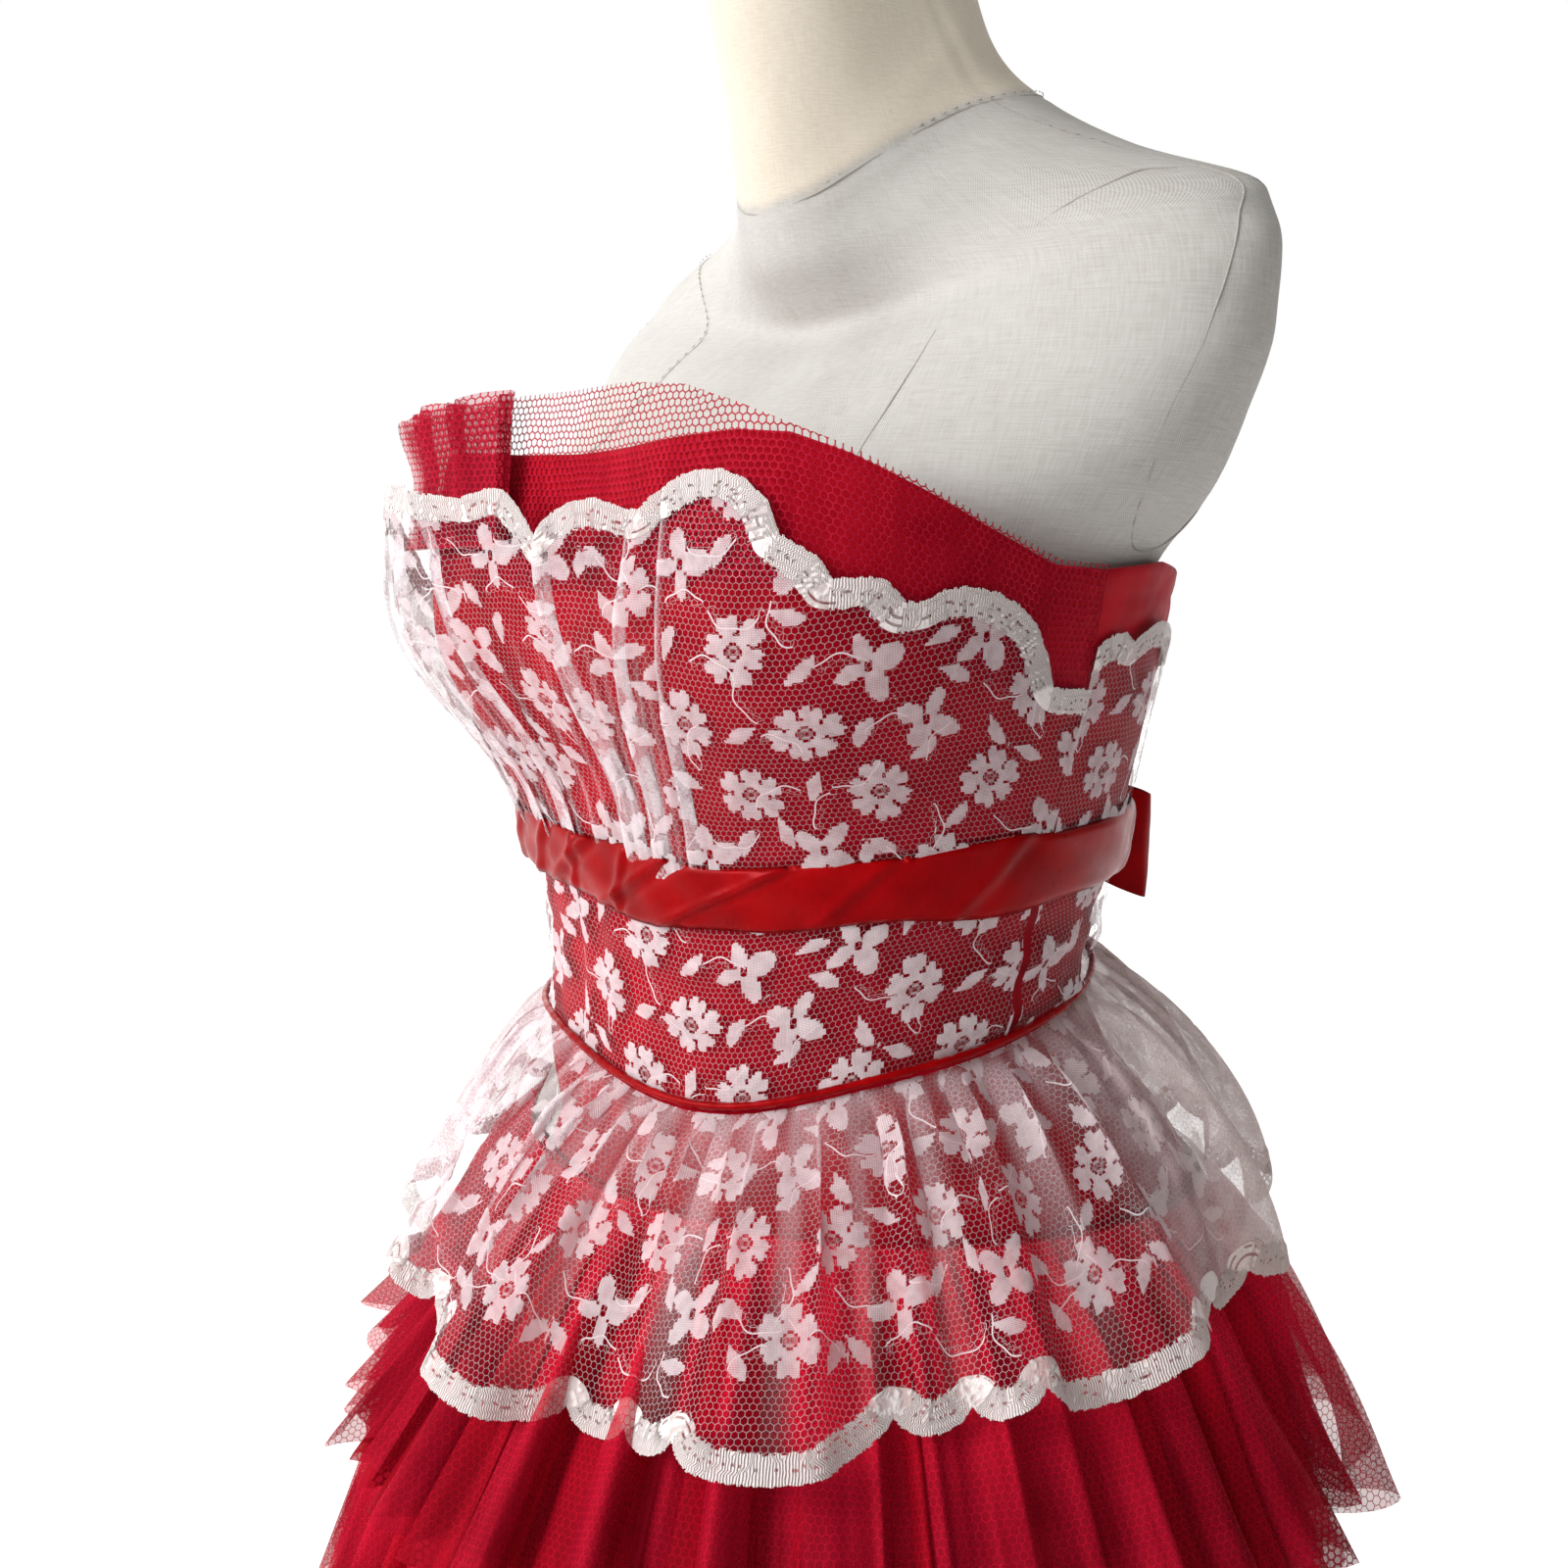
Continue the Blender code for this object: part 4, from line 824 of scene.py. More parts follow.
# the floor behind the form, and far from it all round, glows with emission up to the white of the room: painted light,
# not a lamp
ahead = floor_mat.step(floor_mat.vmath('DOT_PRODUCT', tc, (CAM_DIR.x, CAM_DIR.y, 0.0)), 0.10, 1.20)
far = floor_mat.step(floor_mat.vmath('LENGTH', tc), 3.0, 6.0)
floor_mat.set(Emission_Color=floor_mat.mix(floor_mat.noise(tc, 1.0, 2.0), (0.98, 0.98, 0.98, 1), (1.0, 1.0, 1.0, 1)),
              Emission_Strength=floor_mat.math('MULTIPLY', floor_mat.math('MAXIMUM', ahead, far), 0.60))
a = np.linspace(0, 2 * np.pi, 64, endpoint=False)
rr = np.array([0.0, 1.0, 4.0, 12.0, 40.0])
P = np.stack([rr[None] * np.cos(a)[:, None], rr[None] * np.sin(a)[:, None], 0 * rr[None] * a[:, None] - 0.0004], -1)
floor = sheet_grid("floor", P, floor_mat.m, closed=True)

# =====================================================================  dress form and stand
LINEN = linen_material("linen")
nth, nz = 168, 250
zf = np.concatenate([np.linspace(FORM_END, 0.20, 120, endpoint=False), np.linspace(0.20, 0.455, 130)])
th = np.linspace(-np.pi, np.pi, nth, endpoint=False)
T, Z = np.meshgrid(th, zf, indexing='ij')

# Seams of the linen cover, as (angle_deg, z) points; each is a shallow fold with a row of stitches.
SEAMS = {
    "neck": [(-180, 0.352), (-150, 0.3515), (-125, 0.348), (-100, 0.3405), (-80, 0.3315), (-62, 0.3205), (-42, 0.308), (-20, 0.2965), (0, 0.2925), (20, 0.2965),
             (42, 0.308), (62, 0.3205), (80, 0.3315), (100, 0.3405), (125, 0.348), (150, 0.3515), (180, 0.352)],
    "front_left": [(88, 0.3045), (85, 0.3039), (79, 0.2979), (73, 0.2912), (66, 0.2818), (59, 0.2700), (53, 0.2585), (49, 0.240), (47, 0.218), (45, 0.190),
                   (41, 0.155), (37, 0.120), (34, 0.060), (32, 0.0), (34, -0.08), (36, -0.18), (36, -0.305)],
    "side_left": [(90, 0.160), (90, 0.120), (90, 0.040), (90, -0.05), (90, -0.20), (90, -0.305)],
    "neck_side_left": [(88, 0.3355), (87, 0.350), (85, 0.372), (84, 0.41), (84, 0.453)],
    "shoulder_left": [(88, 0.3355), (90, 0.325), (92, 0.317), (92, 0.310), (91, 0.3045)],
    "plate_left": [(91, 0.3045), (88.5, 0.2945), (87, 0.2878), (85, 0.2737), (83.5, 0.2549), (82.5, 0.2382), (82, 0.22), (82, 0.2086), (84, 0.1918), (87, 0.1797), (92, 0.1705),
                   (99, 0.1705), (106, 0.178), (111, 0.192), (114, 0.212), (113, 0.235), (109, 0.258), (104, 0.278), (98, 0.295), (91, 0.3045)],
    "back_centre": [(180, 0.350), (180, 0.25), (180, 0.15), (180, 0.05), (180, -0.1), (180, -0.305)],
    "back_left": [(112, 0.300), (128, 0.285), (140, 0.25), (150, 0.20), (153, 0.12), (155, 0.03), (152, -0.08), (150, -0.2), (150, -0.305)],
}
for key in list(SEAMS):
    if key.endswith("_left"):
        SEAMS[key.replace("_left", "_right")] = [(-a, z) for a, z in SEAMS[key]]


def seam_path(pts, step=0.0025):
    q = np.array([(math.radians(a), z) for a, z in pts])
    P = form_point(q[:, 0], q[:, 1])
    t = arc_path(P)
    n = max(8, int(t[-1] / step))
    tt = np.linspace(0, t[-1], n)
    # smooth curve through the points
    m = np.gradient(q, t, axis=0)
    i = np.clip(np.searchsorted(t, tt) - 1, 0, len(t) - 2)
    h = (t[i + 1] - t[i])[:, None]
    x = ((tt - t[i]) / h[:, 0])[:, None]
    return ((2 * x**3 - 3 * x**2 + 1) * q[i] + (x**3 - 2 * x**2 + x) * h * m[i]
            + (-2 * x**3 + 3 * x**2) * q[i + 1] + (x**3 - x**2) * h * m[i + 1])


seam_lines = {k: seam_path(v) for k, v in SEAMS.items()}
kd = KDTree(sum(len(v) for v in seam_lines.values()))
c = 0
for v in seam_lines.values():
    for p in form_point(v[:, 0], v[:, 1]):
        kd.insert(p, c)
        c += 1
kd.balance()
P = form_point(T, Z)
flatP = P.reshape(-1, 3)
dist = np.array([kd.find(p)[2] for p in flatP]).reshape(nth, nz)
dip = -0.0004 * np.exp(-(dist / 0.0022)**2) + 0.00025 * np.exp(-((dist - 0.005) / 0.003)**2)
soft = 0.0006 * np.sin(5 * T + 9 * Z) * np.sin(21 * Z + 2 * T) + 0.0085 * np.exp(-((wrap(T) - 0.20) / 0.55)**2) * np.exp(-((Z - 0.264) / 0.018)**2)
P = form_point(T, Z, dip + soft)
fab = np.stack([T * 0.13 * 1000, Z * 1000], -1)
cream = smooth01((Z - np.interp(np.degrees(T), [p[0] for p in SEAMS['neck']], [p[1] for p in SEAMS['neck']])) / 0.004)
# close the neck and the underside with discs of the same mesh
top_c = P[:, -1].mean(0)
bot_c = P[:, 0].mean(0)
rings_top = np.stack([top_c + (P[:, -1] - top_c) * f - np.array([0, 0, 0.0]) for f in (0.985, 0.9, 0.6, 0.3, 0.02)], 1)
rings_top[:, 0, 2] += 0.0012
rings_top[:, 1:, 2] += 0.0018
rings_bot = np.stack([bot_c + (P[:, 0] - bot_c) * f for f in (0.10, 0.4, 0.7, 0.95)], 1)
PP = np.concatenate([rings_bot, P, rings_top], 1)
PP[:, :, 2] = np.clip(PP[:, :, 2], WAIST_Z + FORM_END + 0.0002, WAIST_Z + 0.4549)
fb = np.concatenate([(rings_bot[..., :2] * 1000), fab, (rings_top[..., :2] * 1000)], 1)
cr = np.concatenate([np.zeros((nth, 4)), cream, np.ones((nth, 5))], 1)
form = sheet_grid("form_cover", PP, LINEN, closed=True, attrs={"fab": fb, "cream": cr})
dress_piece(form, ("form_body",))

# Seam folds and stitches on the cover.
SEAM_MAT = linen_material("linen_seam", (0.27, 0.25, 0.22), (0.52, 0.50, 0.46))
parts, st_c, st_a = [], [], []
for key, v in seam_lines.items():
    P1 = form_point(v[:, 0], v[:, 1], -0.0004)
    up = form_point(v[:, 0], v[:, 1], 0.01) - P1
    parts.append(tube_mesh(P1, 0.00050, 6, up=up / np.linalg.norm(up, axis=1)[:, None]))
    P2 = form_point(v[:, 0], v[:, 1], -0.0002)
    tan = np.gradient(P2, axis=0)
    tan /= np.linalg.norm(tan, axis=1)[:, None]
    nor = up / np.linalg.norm(up, axis=1)[:, None]
    side = np.cross(nor, tan)
    k = np.arange(1, len(P2) - 1, 2)
    st_c.append(P2[k] + side[k] * 0.0016)
    st_a.append(np.stack([tan[k], side[k], nor[k]], 1))
V, F = join_parts(parts)
ob = make("form_seams", V, F, SEAM_MAT, {"fab": V[:, [0, 2]] * 1000, "cream": np.zeros(len(V))})
dress_piece(ob)
V, F = blobs(np.concatenate(st_c), np.concatenate(st_a), (0.0014, 0.00034, 0.00030))
ob = make("form_stitches", V, F, SEAM_MAT, {"fab": V[:, [0, 2]] * 1000, "cream": np.zeros(len(V))})
dress_piece(ob)

for node, mat in (("stand_pole", metal_material("pole_steel", (0.42, 0.42, 0.43), (0.68, 0.68, 0.69), 0.28, 1.0)),
                  ("stand_base", metal_material("base_paint", (0.025, 0.025, 0.028), (0.06, 0.06, 0.065), 0.42, 0.4))):
    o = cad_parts[node]
    o.data.materials.clear()
    o.data.materials.append(mat)


# =====================================================================  lace
LACE_M = lace_material("lace_scalloped")
# the midriff lace has denser motif work than the other laces, standing in for the extra light there: painted light
LACE_P = lace_material("lace_plain", border=False, work_alpha=(0.70, 0.86))
LACE_G = lace_material("lace_gathered", thread=0.116, thread_alpha=0.40, work_alpha=(0.60, 0.76))

# Fold lines of the front: angle at the top, angle at the ribbon, height of the ridge, tuck, and where it starts
FOLDS = [
    (-57.0, -46.0, 0.0040, 0.0050, 0.190),
    (-43.0, -35.0, 0.0044, 0.0060, 0.190),
    (-29.0, -24.0, 0.0052, 0.0065, 0.190),
    (-20.5, -13.8, 0.0046, 0.0060, 0.190),
    (3.0, 6.2, 0.0058, 0.0065, 0.178),
    (17.5, 13.6, 0.0042, 0.0045, 0.158),
    (23.0, 21.8, 0.0026, 0.0034, 0.122),
]


def fold_line(f, z):
    k = smooth01((z - 0.055) / 0.125)
    return np.radians(f[1] * (1 - k) + f[0] * k)


def top_lean(th, z):
    """The scalloped edge curls away from the body between the first folds."""
    d = np.degrees(wrap(th))
    return 0.0098 * np.exp(-((d + 18) / 9.5)**2) * smooth01((z - 0.158) / 0.026) + 0.003 * np.exp(-((d + 40) / 9)**2) * smooth01((z - 0.160) / 0.024)


def cup_soft(th, z):
    """Small hollows and swells in the lace where it isn't pleated."""
    d = np.degrees(wrap(th))
    a = 0.0007 * (1 + np.sin(np.radians(d * 9 + 300 * z))) * smooth01((z - 0.07) / 0.03)
    b = 0.0010 * np.exp(-((d - 33 - 90 * (z - 0.1)) / 3.0)**2) * smooth01((0.125 - z) / 0.04) * smooth01((z - 0.066) / 0.015)
    c = 0.0009 * np.exp(-((d - 47) / 2.4)**2) * smooth01((0.100 - z) / 0.03)
    return a + b + c


def lace_front():
    rows = 122
    v = np.linspace(0, 1, rows)
    groups = []
    U = 0.0
    bounds_ = [None] + FOLDS + [None]
    for j in range(len(FOLDS) + 1):
        left, right = bounds_[j], bounds_[j + 1]

        def L(z, f=left):
            return fold_line(f, z) if f else -SIDE + 0.0015 + 0 * z

        def Rr(z, f=right):
            return fold_line(f, z) if f else SIDE - 0.0015 + 0 * z

        def level(f, z):
            """Ridge height and tuck of a fold at height z."""
            if not f:
                return 0 * z, 0 * z
            on = smooth01((f[4] - z) / 0.02) if f[4] < 0.185 else 1.0
            k = 0.28 + 0.72 * smooth01((z - 0.072) / 0.05)
            return f[2] * on * k + 0.0003, f[3] * on * (0.5 + 0.9 * smooth01((0.15 - z) / 0.08)) + 0.0006

        zmid = np.full(1, 0.12)
        wide = float(((Rr(zmid) - L(zmid)) * (dress_r((Rr(zmid) + L(zmid)) / 2, zmid) + 0.01))[0])
        nvis = max(10, int(wide / 0.00115))
        cols = [("vis", t) for t in np.linspace(0, 1, nvis)]
        if right:
            cols += [("under", t) for t in (0.25, 0.5, 0.8, 1.0)]
            cols += [("back", t) for t in (0.0, 0.25, 0.5, 0.75, 0.93)]
        P, F, D = [], [], []
        for kind, t in cols:
            def ang(z):
                if kind == "vis":
                    return L(z) + (Rr(z) - L(z)) * t
                return Rr(z)
            zt, zb = np.array([0.17]), np.array([0.06])
            for _ in range(4):
                zt = lerp(LACE_FRONT_TOP, np.degrees(ang(zt)))
                zb = ribbon_mid(ang(zb)) - 0.004
            z = zb + (zt - zb) * v
            a = ang(z)
            r0 = dress_r(a, z) + lace_stand(a, z) + top_lean(a, z) + cup_soft(a, z)
            hL, _ = level(left, z)
            hR, dR = level(right, z)
            w = (Rr(z) - L(z)) * (dress_r((Rr(z) + L(z)) / 2, z) + lace_stand((Rr(z) + L(z)) / 2, z))
            if kind == "vis":
                # round over the ridge, then fall to the base
                ridge = np.clip(1 - t * w / 0.011, 0, 1)**1.6
                off = hL * ridge
                lip = np.exp(-(t * w / 0.0010)**2) * 0.35 * hL
                off = off - lip
                # slow swell across a wide strip
                off = off + 0.0012 * math.sin(math.pi * t) * smooth01((z - 0.08) / 0.05) * (1.0 if right else 0.3)
                u = U + t * w
                dn = (0.62 if left else 0.0) * np.exp(-((t * w - 0.0008) / 0.0013)**2) * (0.55 + 0.45 * smooth01((0.16 - z) / 0.05))
                if right:
                    low = 1 - smooth01((z - 0.105) / 0.035)
                    for q, a_ in ((0.30, 0.34), (0.56, 0.44), (0.80, 0.30)):
                        dn = dn + a_ * low * np.exp(-(((t - q) * w) / 0.0010)**2)
                        off = off + 0.0009 * low * np.exp(-(((t - q) * w) / 0.0022)**2)
            elif kind == "under":
                a = a + dR * t / r0
                off = -0.0002 * t + 0 * z
                u = U + w + dR * t
                dn = 0.4 + 0 * z
            else:
                dn = 0.4 + 0 * z
                a = a + dR * (1 - t) / r0
                off = 0.0003 + (hR * 0.55 - 0.0003) * t**1.3
                u = U + w + dR + dR * t
            P.append(point(r0 + off, a, z))
            F.append(np.stack([u * 1000, z * 0], -1))
            D.append(np.clip(dn, 0, 1))
        P, F = np.array(P), np.array(F)
        F[..., 1] = arc_rows(P) * 1000 + 4.0
        groups.append((P, F, np.array(D)))
        U += wide + 0.016
    n = sum(len(g[0]) for g in groups)
    allP = np.concatenate([g[0] for g in groups])
    allF = np.concatenate([g[1] for g in groups])
    edge, along = [], []
    for P, F, _ in groups:
        line = F[:, -1]
        e, s = edge_fields(F.reshape(-1, 2), line)
        edge.append(e.reshape(F.shape[:2]))
        along.append(s.reshape(F.shape[:2]))
    return allP, allF, np.concatenate(edge), np.concatenate(along), np.concatenate([g[2] for g in groups])


def dress_lace(name, P, F, edge, along, mat, nodes, shift_uv=(0, 0), closed=False, relief=0.00030, lowest=None, extra=None):
    F = F + np.array(shift_uv)
    attrs, raised = motif_fields(F[..., 0], F[..., 1], lowest)
    attrs["fab"] = F
    attrs.update(extra or {})
    nrm = normals_of(P, closed)
    lift = relief * raised
    if edge is not None:
        band = smooth01((9.8 - edge) / 1.4)
        cord = 0.7 * np.exp(-((edge - 2.2) / 1.6)**2) + 0.4 * np.exp(-((edge - 8.4) / 1.6)**2)
        lift = lift * (1 - band) + band * (0.00045 + 0.00022 * cord)
        attrs["edge"], attrs["along"] = edge, along
    sgn = np.sign(np.sum(nrm * (P - np.array([AX, AY, 0])) * np.array([1, 1, 0]), -1).mean())
    P = P + nrm * (lift * sgn)[..., None]
    ob = sheet_grid(name, P, mat, closed=closed, attrs=attrs, flip=sgn < 0)
    dress_piece(ob, nodes)
    return ob, P


P, F, e, s, ridges = lace_front()
# the lace on the front's far side gets extra cover and painted shade
turned = 0.85 * smooth01((-np.degrees(np.arctan2(P[..., 0] - AX, AY - P[..., 1])) - 38) / 10)
lace_f, P = dress_lace("lace_bodice_front_cloth", P, F, e, s, LACE_M, ("lace_bodice_front",), (14.0, 18.0), extra={"dense": ridges, "painted_shade_and_veil": turned})


def band_grid(a0, a1, n, low, high, rows, off):
    t = np.linspace(a0, a1, n)
    v = np.linspace(0, 1, rows)
    T2 = t[:, None] + 0 * v[None]
    z = low(T2) * (1 - v) + high(T2) * v
    r = dress_r(T2, z) + off(T2, z)
    P = point(r, T2, z)
    s = arc_path(P[:, rows // 2])
    F = np.stack([(s[:, None] + 0 * v[None]) * 1000, arc_rows(P) * 1000], -1)
    return P, F, T2, z


def back_top(th):
    return lerp(LACE_BACK_TOP, np.degrees(np.abs(wrap(th))))


P, F, T2, Z2 = band_grid(SIDE + 0.0015, 2 * math.pi - SIDE - 0.0015, 300, lambda t: ribbon_mid(t) - 0.004, back_top, 84,
                         lambda t, z: 0.0004 + 0.0006 * np.sin(13 * t + 40 * z))
e, s = edge_fields(F.reshape(-1, 2), F[:, -1])
ob, P = dress_lace("lace_bodice_back_cloth", P, F, e.reshape(F.shape[:2]), s.reshape(F.shape[:2]), LACE_M, ("lace_bodice_back",), (40.0, 31.0))


def mid_folds(th, z):
    """Upright ripples of the midriff lace, strongest near the centre front."""
    d = np.degrees(wrap(th))
    k = smooth01((z + 0.03) / 0.02) * smooth01((0.05 - z) / 0.02)
    front = np.exp(-((d + 12) / 20)**2)
    across = 0.0010 * smooth01((d + 20) / 30) * (1 + np.sin(2 * np.pi * z / 0.019 + 1.6 * np.sin(np.radians(d * 2.2)) + 0.6 * np.sin(np.radians(d * 7))))
    return 0.0004 + k * (0.0011 * front * np.cos(np.radians(d * 34)) + 0.0005 * np.cos(np.radians(d * 13 + 500 * z)) + across)


for name, a0, a1, n, node, uv in (("lace_midriff_front_cloth", -SIDE + 0.0015, math.radians(82.6), 230, "lace_midriff_front", (8.0, 64.0)),
                                  ("lace_midriff_back_cloth", math.radians(84.6), 2 * math.pi - SIDE - 0.0015, 220, "lace_midriff_back", (30.0, 20.0))):
    P, F, T2, Z2 = band_grid(a0, a1, n, lambda t: waist_z(t) + 0.0003, lambda t: ribbon_mid(t) - 0.002, 58, mid_folds)
    ob, P = dress_lace(name, P, F, None, None, LACE_P, (node,), uv)

# ---------------------------------------------------------------- peplum
# Angles at which the hem dips inwards between two flutes
VALLEYS = [-172, -148, -122, -99, -77, -54, -32, -9, 19, 62, 75, 99, 122, 147, 168]
BIG_ARCH, SMALL_ARCH = 0.075, 0.025


def flute_phase(deg):
    """Runs on by one from valley to valley."""
    ext = [v - 360 for v in VALLEYS] + VALLEYS + [v + 360 for v in VALLEYS]
    k = np.arange(len(ext)) - len(VALLEYS)
    return np.interp(deg, ext, k), np.interp(deg, (np.array(ext[:-1]) + np.array(ext[1:])) / 2, np.diff(ext))


def scallop(u):
    """Depth of the cut edge above the lowest line, in metres, for fabric length u."""
    rep = BIG_ARCH + 2 * SMALL_ARCH
    x = np.mod(u, rep)
    big = x < BIG_ARCH
    t = np.where(big, x / BIG_ARCH, np.mod(x - BIG_ARCH, SMALL_ARCH) / SMALL_ARCH)
    arch = np.sqrt(np.clip(1 - (2 * t - 1)**2, 0, 1))
    return np.where(big, 0.0165 * (1 - arch**0.9), 0.0060 + 0.0085 * (1 - arch))


def peplum_surface(phi, s, hem_cut):
    """phi: angle at the waist, s: 0 at the seam, 1 at the lowest hem line; hem_cut shortens a column."""
    deg = np.degrees(phi)
    ph, width = flute_phase(deg)
    w = np.clip(width / 24.0, 0.55, 1.6)
    s = s * (1 - hem_cut)
    z0 = waist_z(phi) - 0.0034
    drop = 0.088 + 0.022 * (0.5 - 0.5 * np.cos(phi)) + 0.004 * np.sin(2 * phi + 1.0)
    d = np.degrees(wrap(phi))
    end = oval(phi, 0.191, 0.184, 0.196, 2.0) - 0.024 * np.exp(-(((d + 44) / 38)**2)) - 0.010 * np.exp(-(((d - 136) / 30)**2))
    start = dress_r(phi, z0) + 0.0004
    flute = -np.cos(2 * np.pi * ph)
    a2 = 0.0082 * w * s**1.25
    sm = 46 * phi + 1.3 * np.sin(5 * phi) + 0.9 * np.sin(11 * phi + 1)
    a1 = 0.0030 * smooth01(s / 0.10) * np.exp(-(s / 0.42)**2)
    k1 = 33 * phi + 1.2 * np.sin(4 * phi + 0.6) + 0.8 * np.sin(9 * phi)
    ridge = (0.5 + 0.5 * np.sin(k1))**2.6
    soft = 0.0090 * smooth01(s / 0.16) * (1 - 0.78 * s) * (0.62 + 0.38 * np.sin(7 * phi + 2.0))
    round_ = 0.34 + np.where(d > 0, 0.66, 0.30) * smooth01((np.abs(d - 12) - 66) / 50)
    r = (start + (end - start) * ((1 + round_) * s - round_ * s * s) + a2 * (flute - 0.15) + a1 * (np.sin(sm) + 0.6)
         + soft * (ridge - 0.22))
    th = phi + (0.0020 * w * s**1.2 * np.sin(4 * np.pi * ph) + 0.0016 * smooth01(s / 0.1) * np.exp(-(s / 0.42)**2) * np.sin(2 * sm)
                + 0.42 * soft * np.cos(k1)) / r
    z = z0 - drop * (0.90 * s + 0.10 * s * s) + 0.0035 * s * flute
    return point(r, th, z)


def peplum():
    n, rows = 1120, 84
    # even steps of cloth along the hem
    phi = np.linspace(-np.pi, np.pi, 4001)
    H = peplum_surface(phi, np.full_like(phi, 0.93), 0 * phi)
    L = arc_path(H)
    total = L[-1]
    rep = BIG_ARCH + 2 * SMALL_ARCH
    count = round(total / rep)
    scale = count * rep / total
    target = np.linspace(0, total, n, endpoint=False)
    ph = np.interp(target, L, phi)
    at = np.interp(math.radians(33.6), phi, L)
    u = (target - at) * scale
    cut = scallop(u) / 0.135
    v = np.linspace(0, 1, rows)
    P = peplum_surface(ph[:, None], v[None], cut[:, None])
    F = np.stack([u[:, None] * 1000 + 0 * v[None], -arc_rows(P) * 1000], -1)
    return P, F, total


P, F, HEM_LEN = peplum()
line = F[:, -1]
ext = np.concatenate([line[-40:] - [line[-1, 0] - line[0, 0] + 1.4, 0], line, line[:40] + [line[-1, 0] - line[0, 0] + 1.4, 0]])
FF = F.copy()
fl = FF.reshape(-1, 2)
kd = KDTree(len(ext))
for i, q in enumerate(ext):
    kd.insert((float(q[0]), float(q[1]), 0.0), i)
kd.balance()
al = arc_path(ext)
edge = np.full(len(fl), 16.0)
along = np.zeros(len(fl))
for i in np.nonzero(fl[:, 1] < line[:, 1].max() + 15)[0]:
    _, k, dist_ = kd.find((float(fl[i, 0]), float(fl[i, 1]), 0.0))
    edge[i] = min(dist_, 16.0)
    along[i] = al[k]
edge, along = edge.reshape(F.shape[:2]), along.reshape(F.shape[:2])
# the repeat runs round without a break: scale the fabric length to whole repeats
F2 = F.copy()
per = round((line[-1, 0] - line[0, 0]) / REPEAT[0])
F2[..., 0] = F[..., 0] * per * REPEAT[0] / ((line[-1, 0] - line[0, 0]) * (1 + 1 / len(line)))
half = P.shape[0] // 2
F2[..., 1] += 118.0
dg = np.degrees(np.arctan2(P[..., 0] - AX, AY - P[..., 1]))
doubled = 1.15 * np.exp(-(((dg + 50) / 26)**2)) + 1.1 * smooth01((np.abs(dg) - 84) / 20)
doubled = np.clip(doubled, 0, 1) * (0.72 + 0.28 * np.sin(np.radians(dg * 17)))
v = np.linspace(0, 1, P.shape[1])[None]
gather = 0.60 * np.exp(-(v / 0.20)**2) * (0.62 + 0.38 * np.sin(np.radians(dg * 43) + 1.3 * np.sin(np.radians(dg * 5))))
strand = np.exp(-(v / 0.55)**2) * np.clip(np.sin(np.radians(dg * 29) + 1.7 * np.sin(np.radians(dg * 7))) - 0.35, 0, 1) * 0.9
doubled = np.clip(np.maximum(doubled, np.maximum(gather, strand)), 0, 1)
# the back and left of the peplum get extra cover and painted shade
ob, P = dress_lace("lace_peplum_cloth", P, F2, edge, along, LACE_G, ("lace_peplum",), (-37.5, 0.0), closed=True, lowest=19.0,
                   extra={"dense": doubled, "painted_shade_and_veil": np.maximum(smooth01((np.abs(dg) - 82) / 30), 0.45 * smooth01((-dg - 38) / 25))})


# =====================================================================  satin bodice
SATIN = satin_material("satin_crimson", (0.34, 0.0030, 0.011), (0.52, 0.0070, 0.020), rough=0.50, spec=0.06)
RIBBON = satin_material("satin_scarlet", (0.20, 0.0005, 0.0014), (0.38, 0.0016, 0.0030), rough=0.30, rib=0.30, bump=0.08, spec=0.32)
LINING = satin_material("satin_lining", (0.32, 0.0022, 0.010), (0.46, 0.0050, 0.018), rough=0.6, spec=0.02)


def satin_wrinkle(th, z):
    d = np.degrees(wrap(th))
    top = satin_top(th)
    near = smooth01((z - (top - 0.045)) / 0.03)
    a = 0.0006 * near * np.sin(np.radians(d * 11 - 900 * z))
    b = 0.0007 * np.exp(-((d - 48 + 700 * (top - z)) / 5.0)**2) * near
    c = -0.0006 * np.exp(-((top - z - 0.0085) / 0.0022)**2)
    low = 0.0006 * (1 - smooth01((z - 0.045) / 0.01)) * np.sin(2 * np.pi * z / 0.019 + 1.6 * np.sin(np.radians(d * 2.2)) + 0.6 * np.sin(np.radians(d * 7)))
    return a + b + c + low + 0.0003 * np.sin(np.radians(d * 5 + 400 * z))


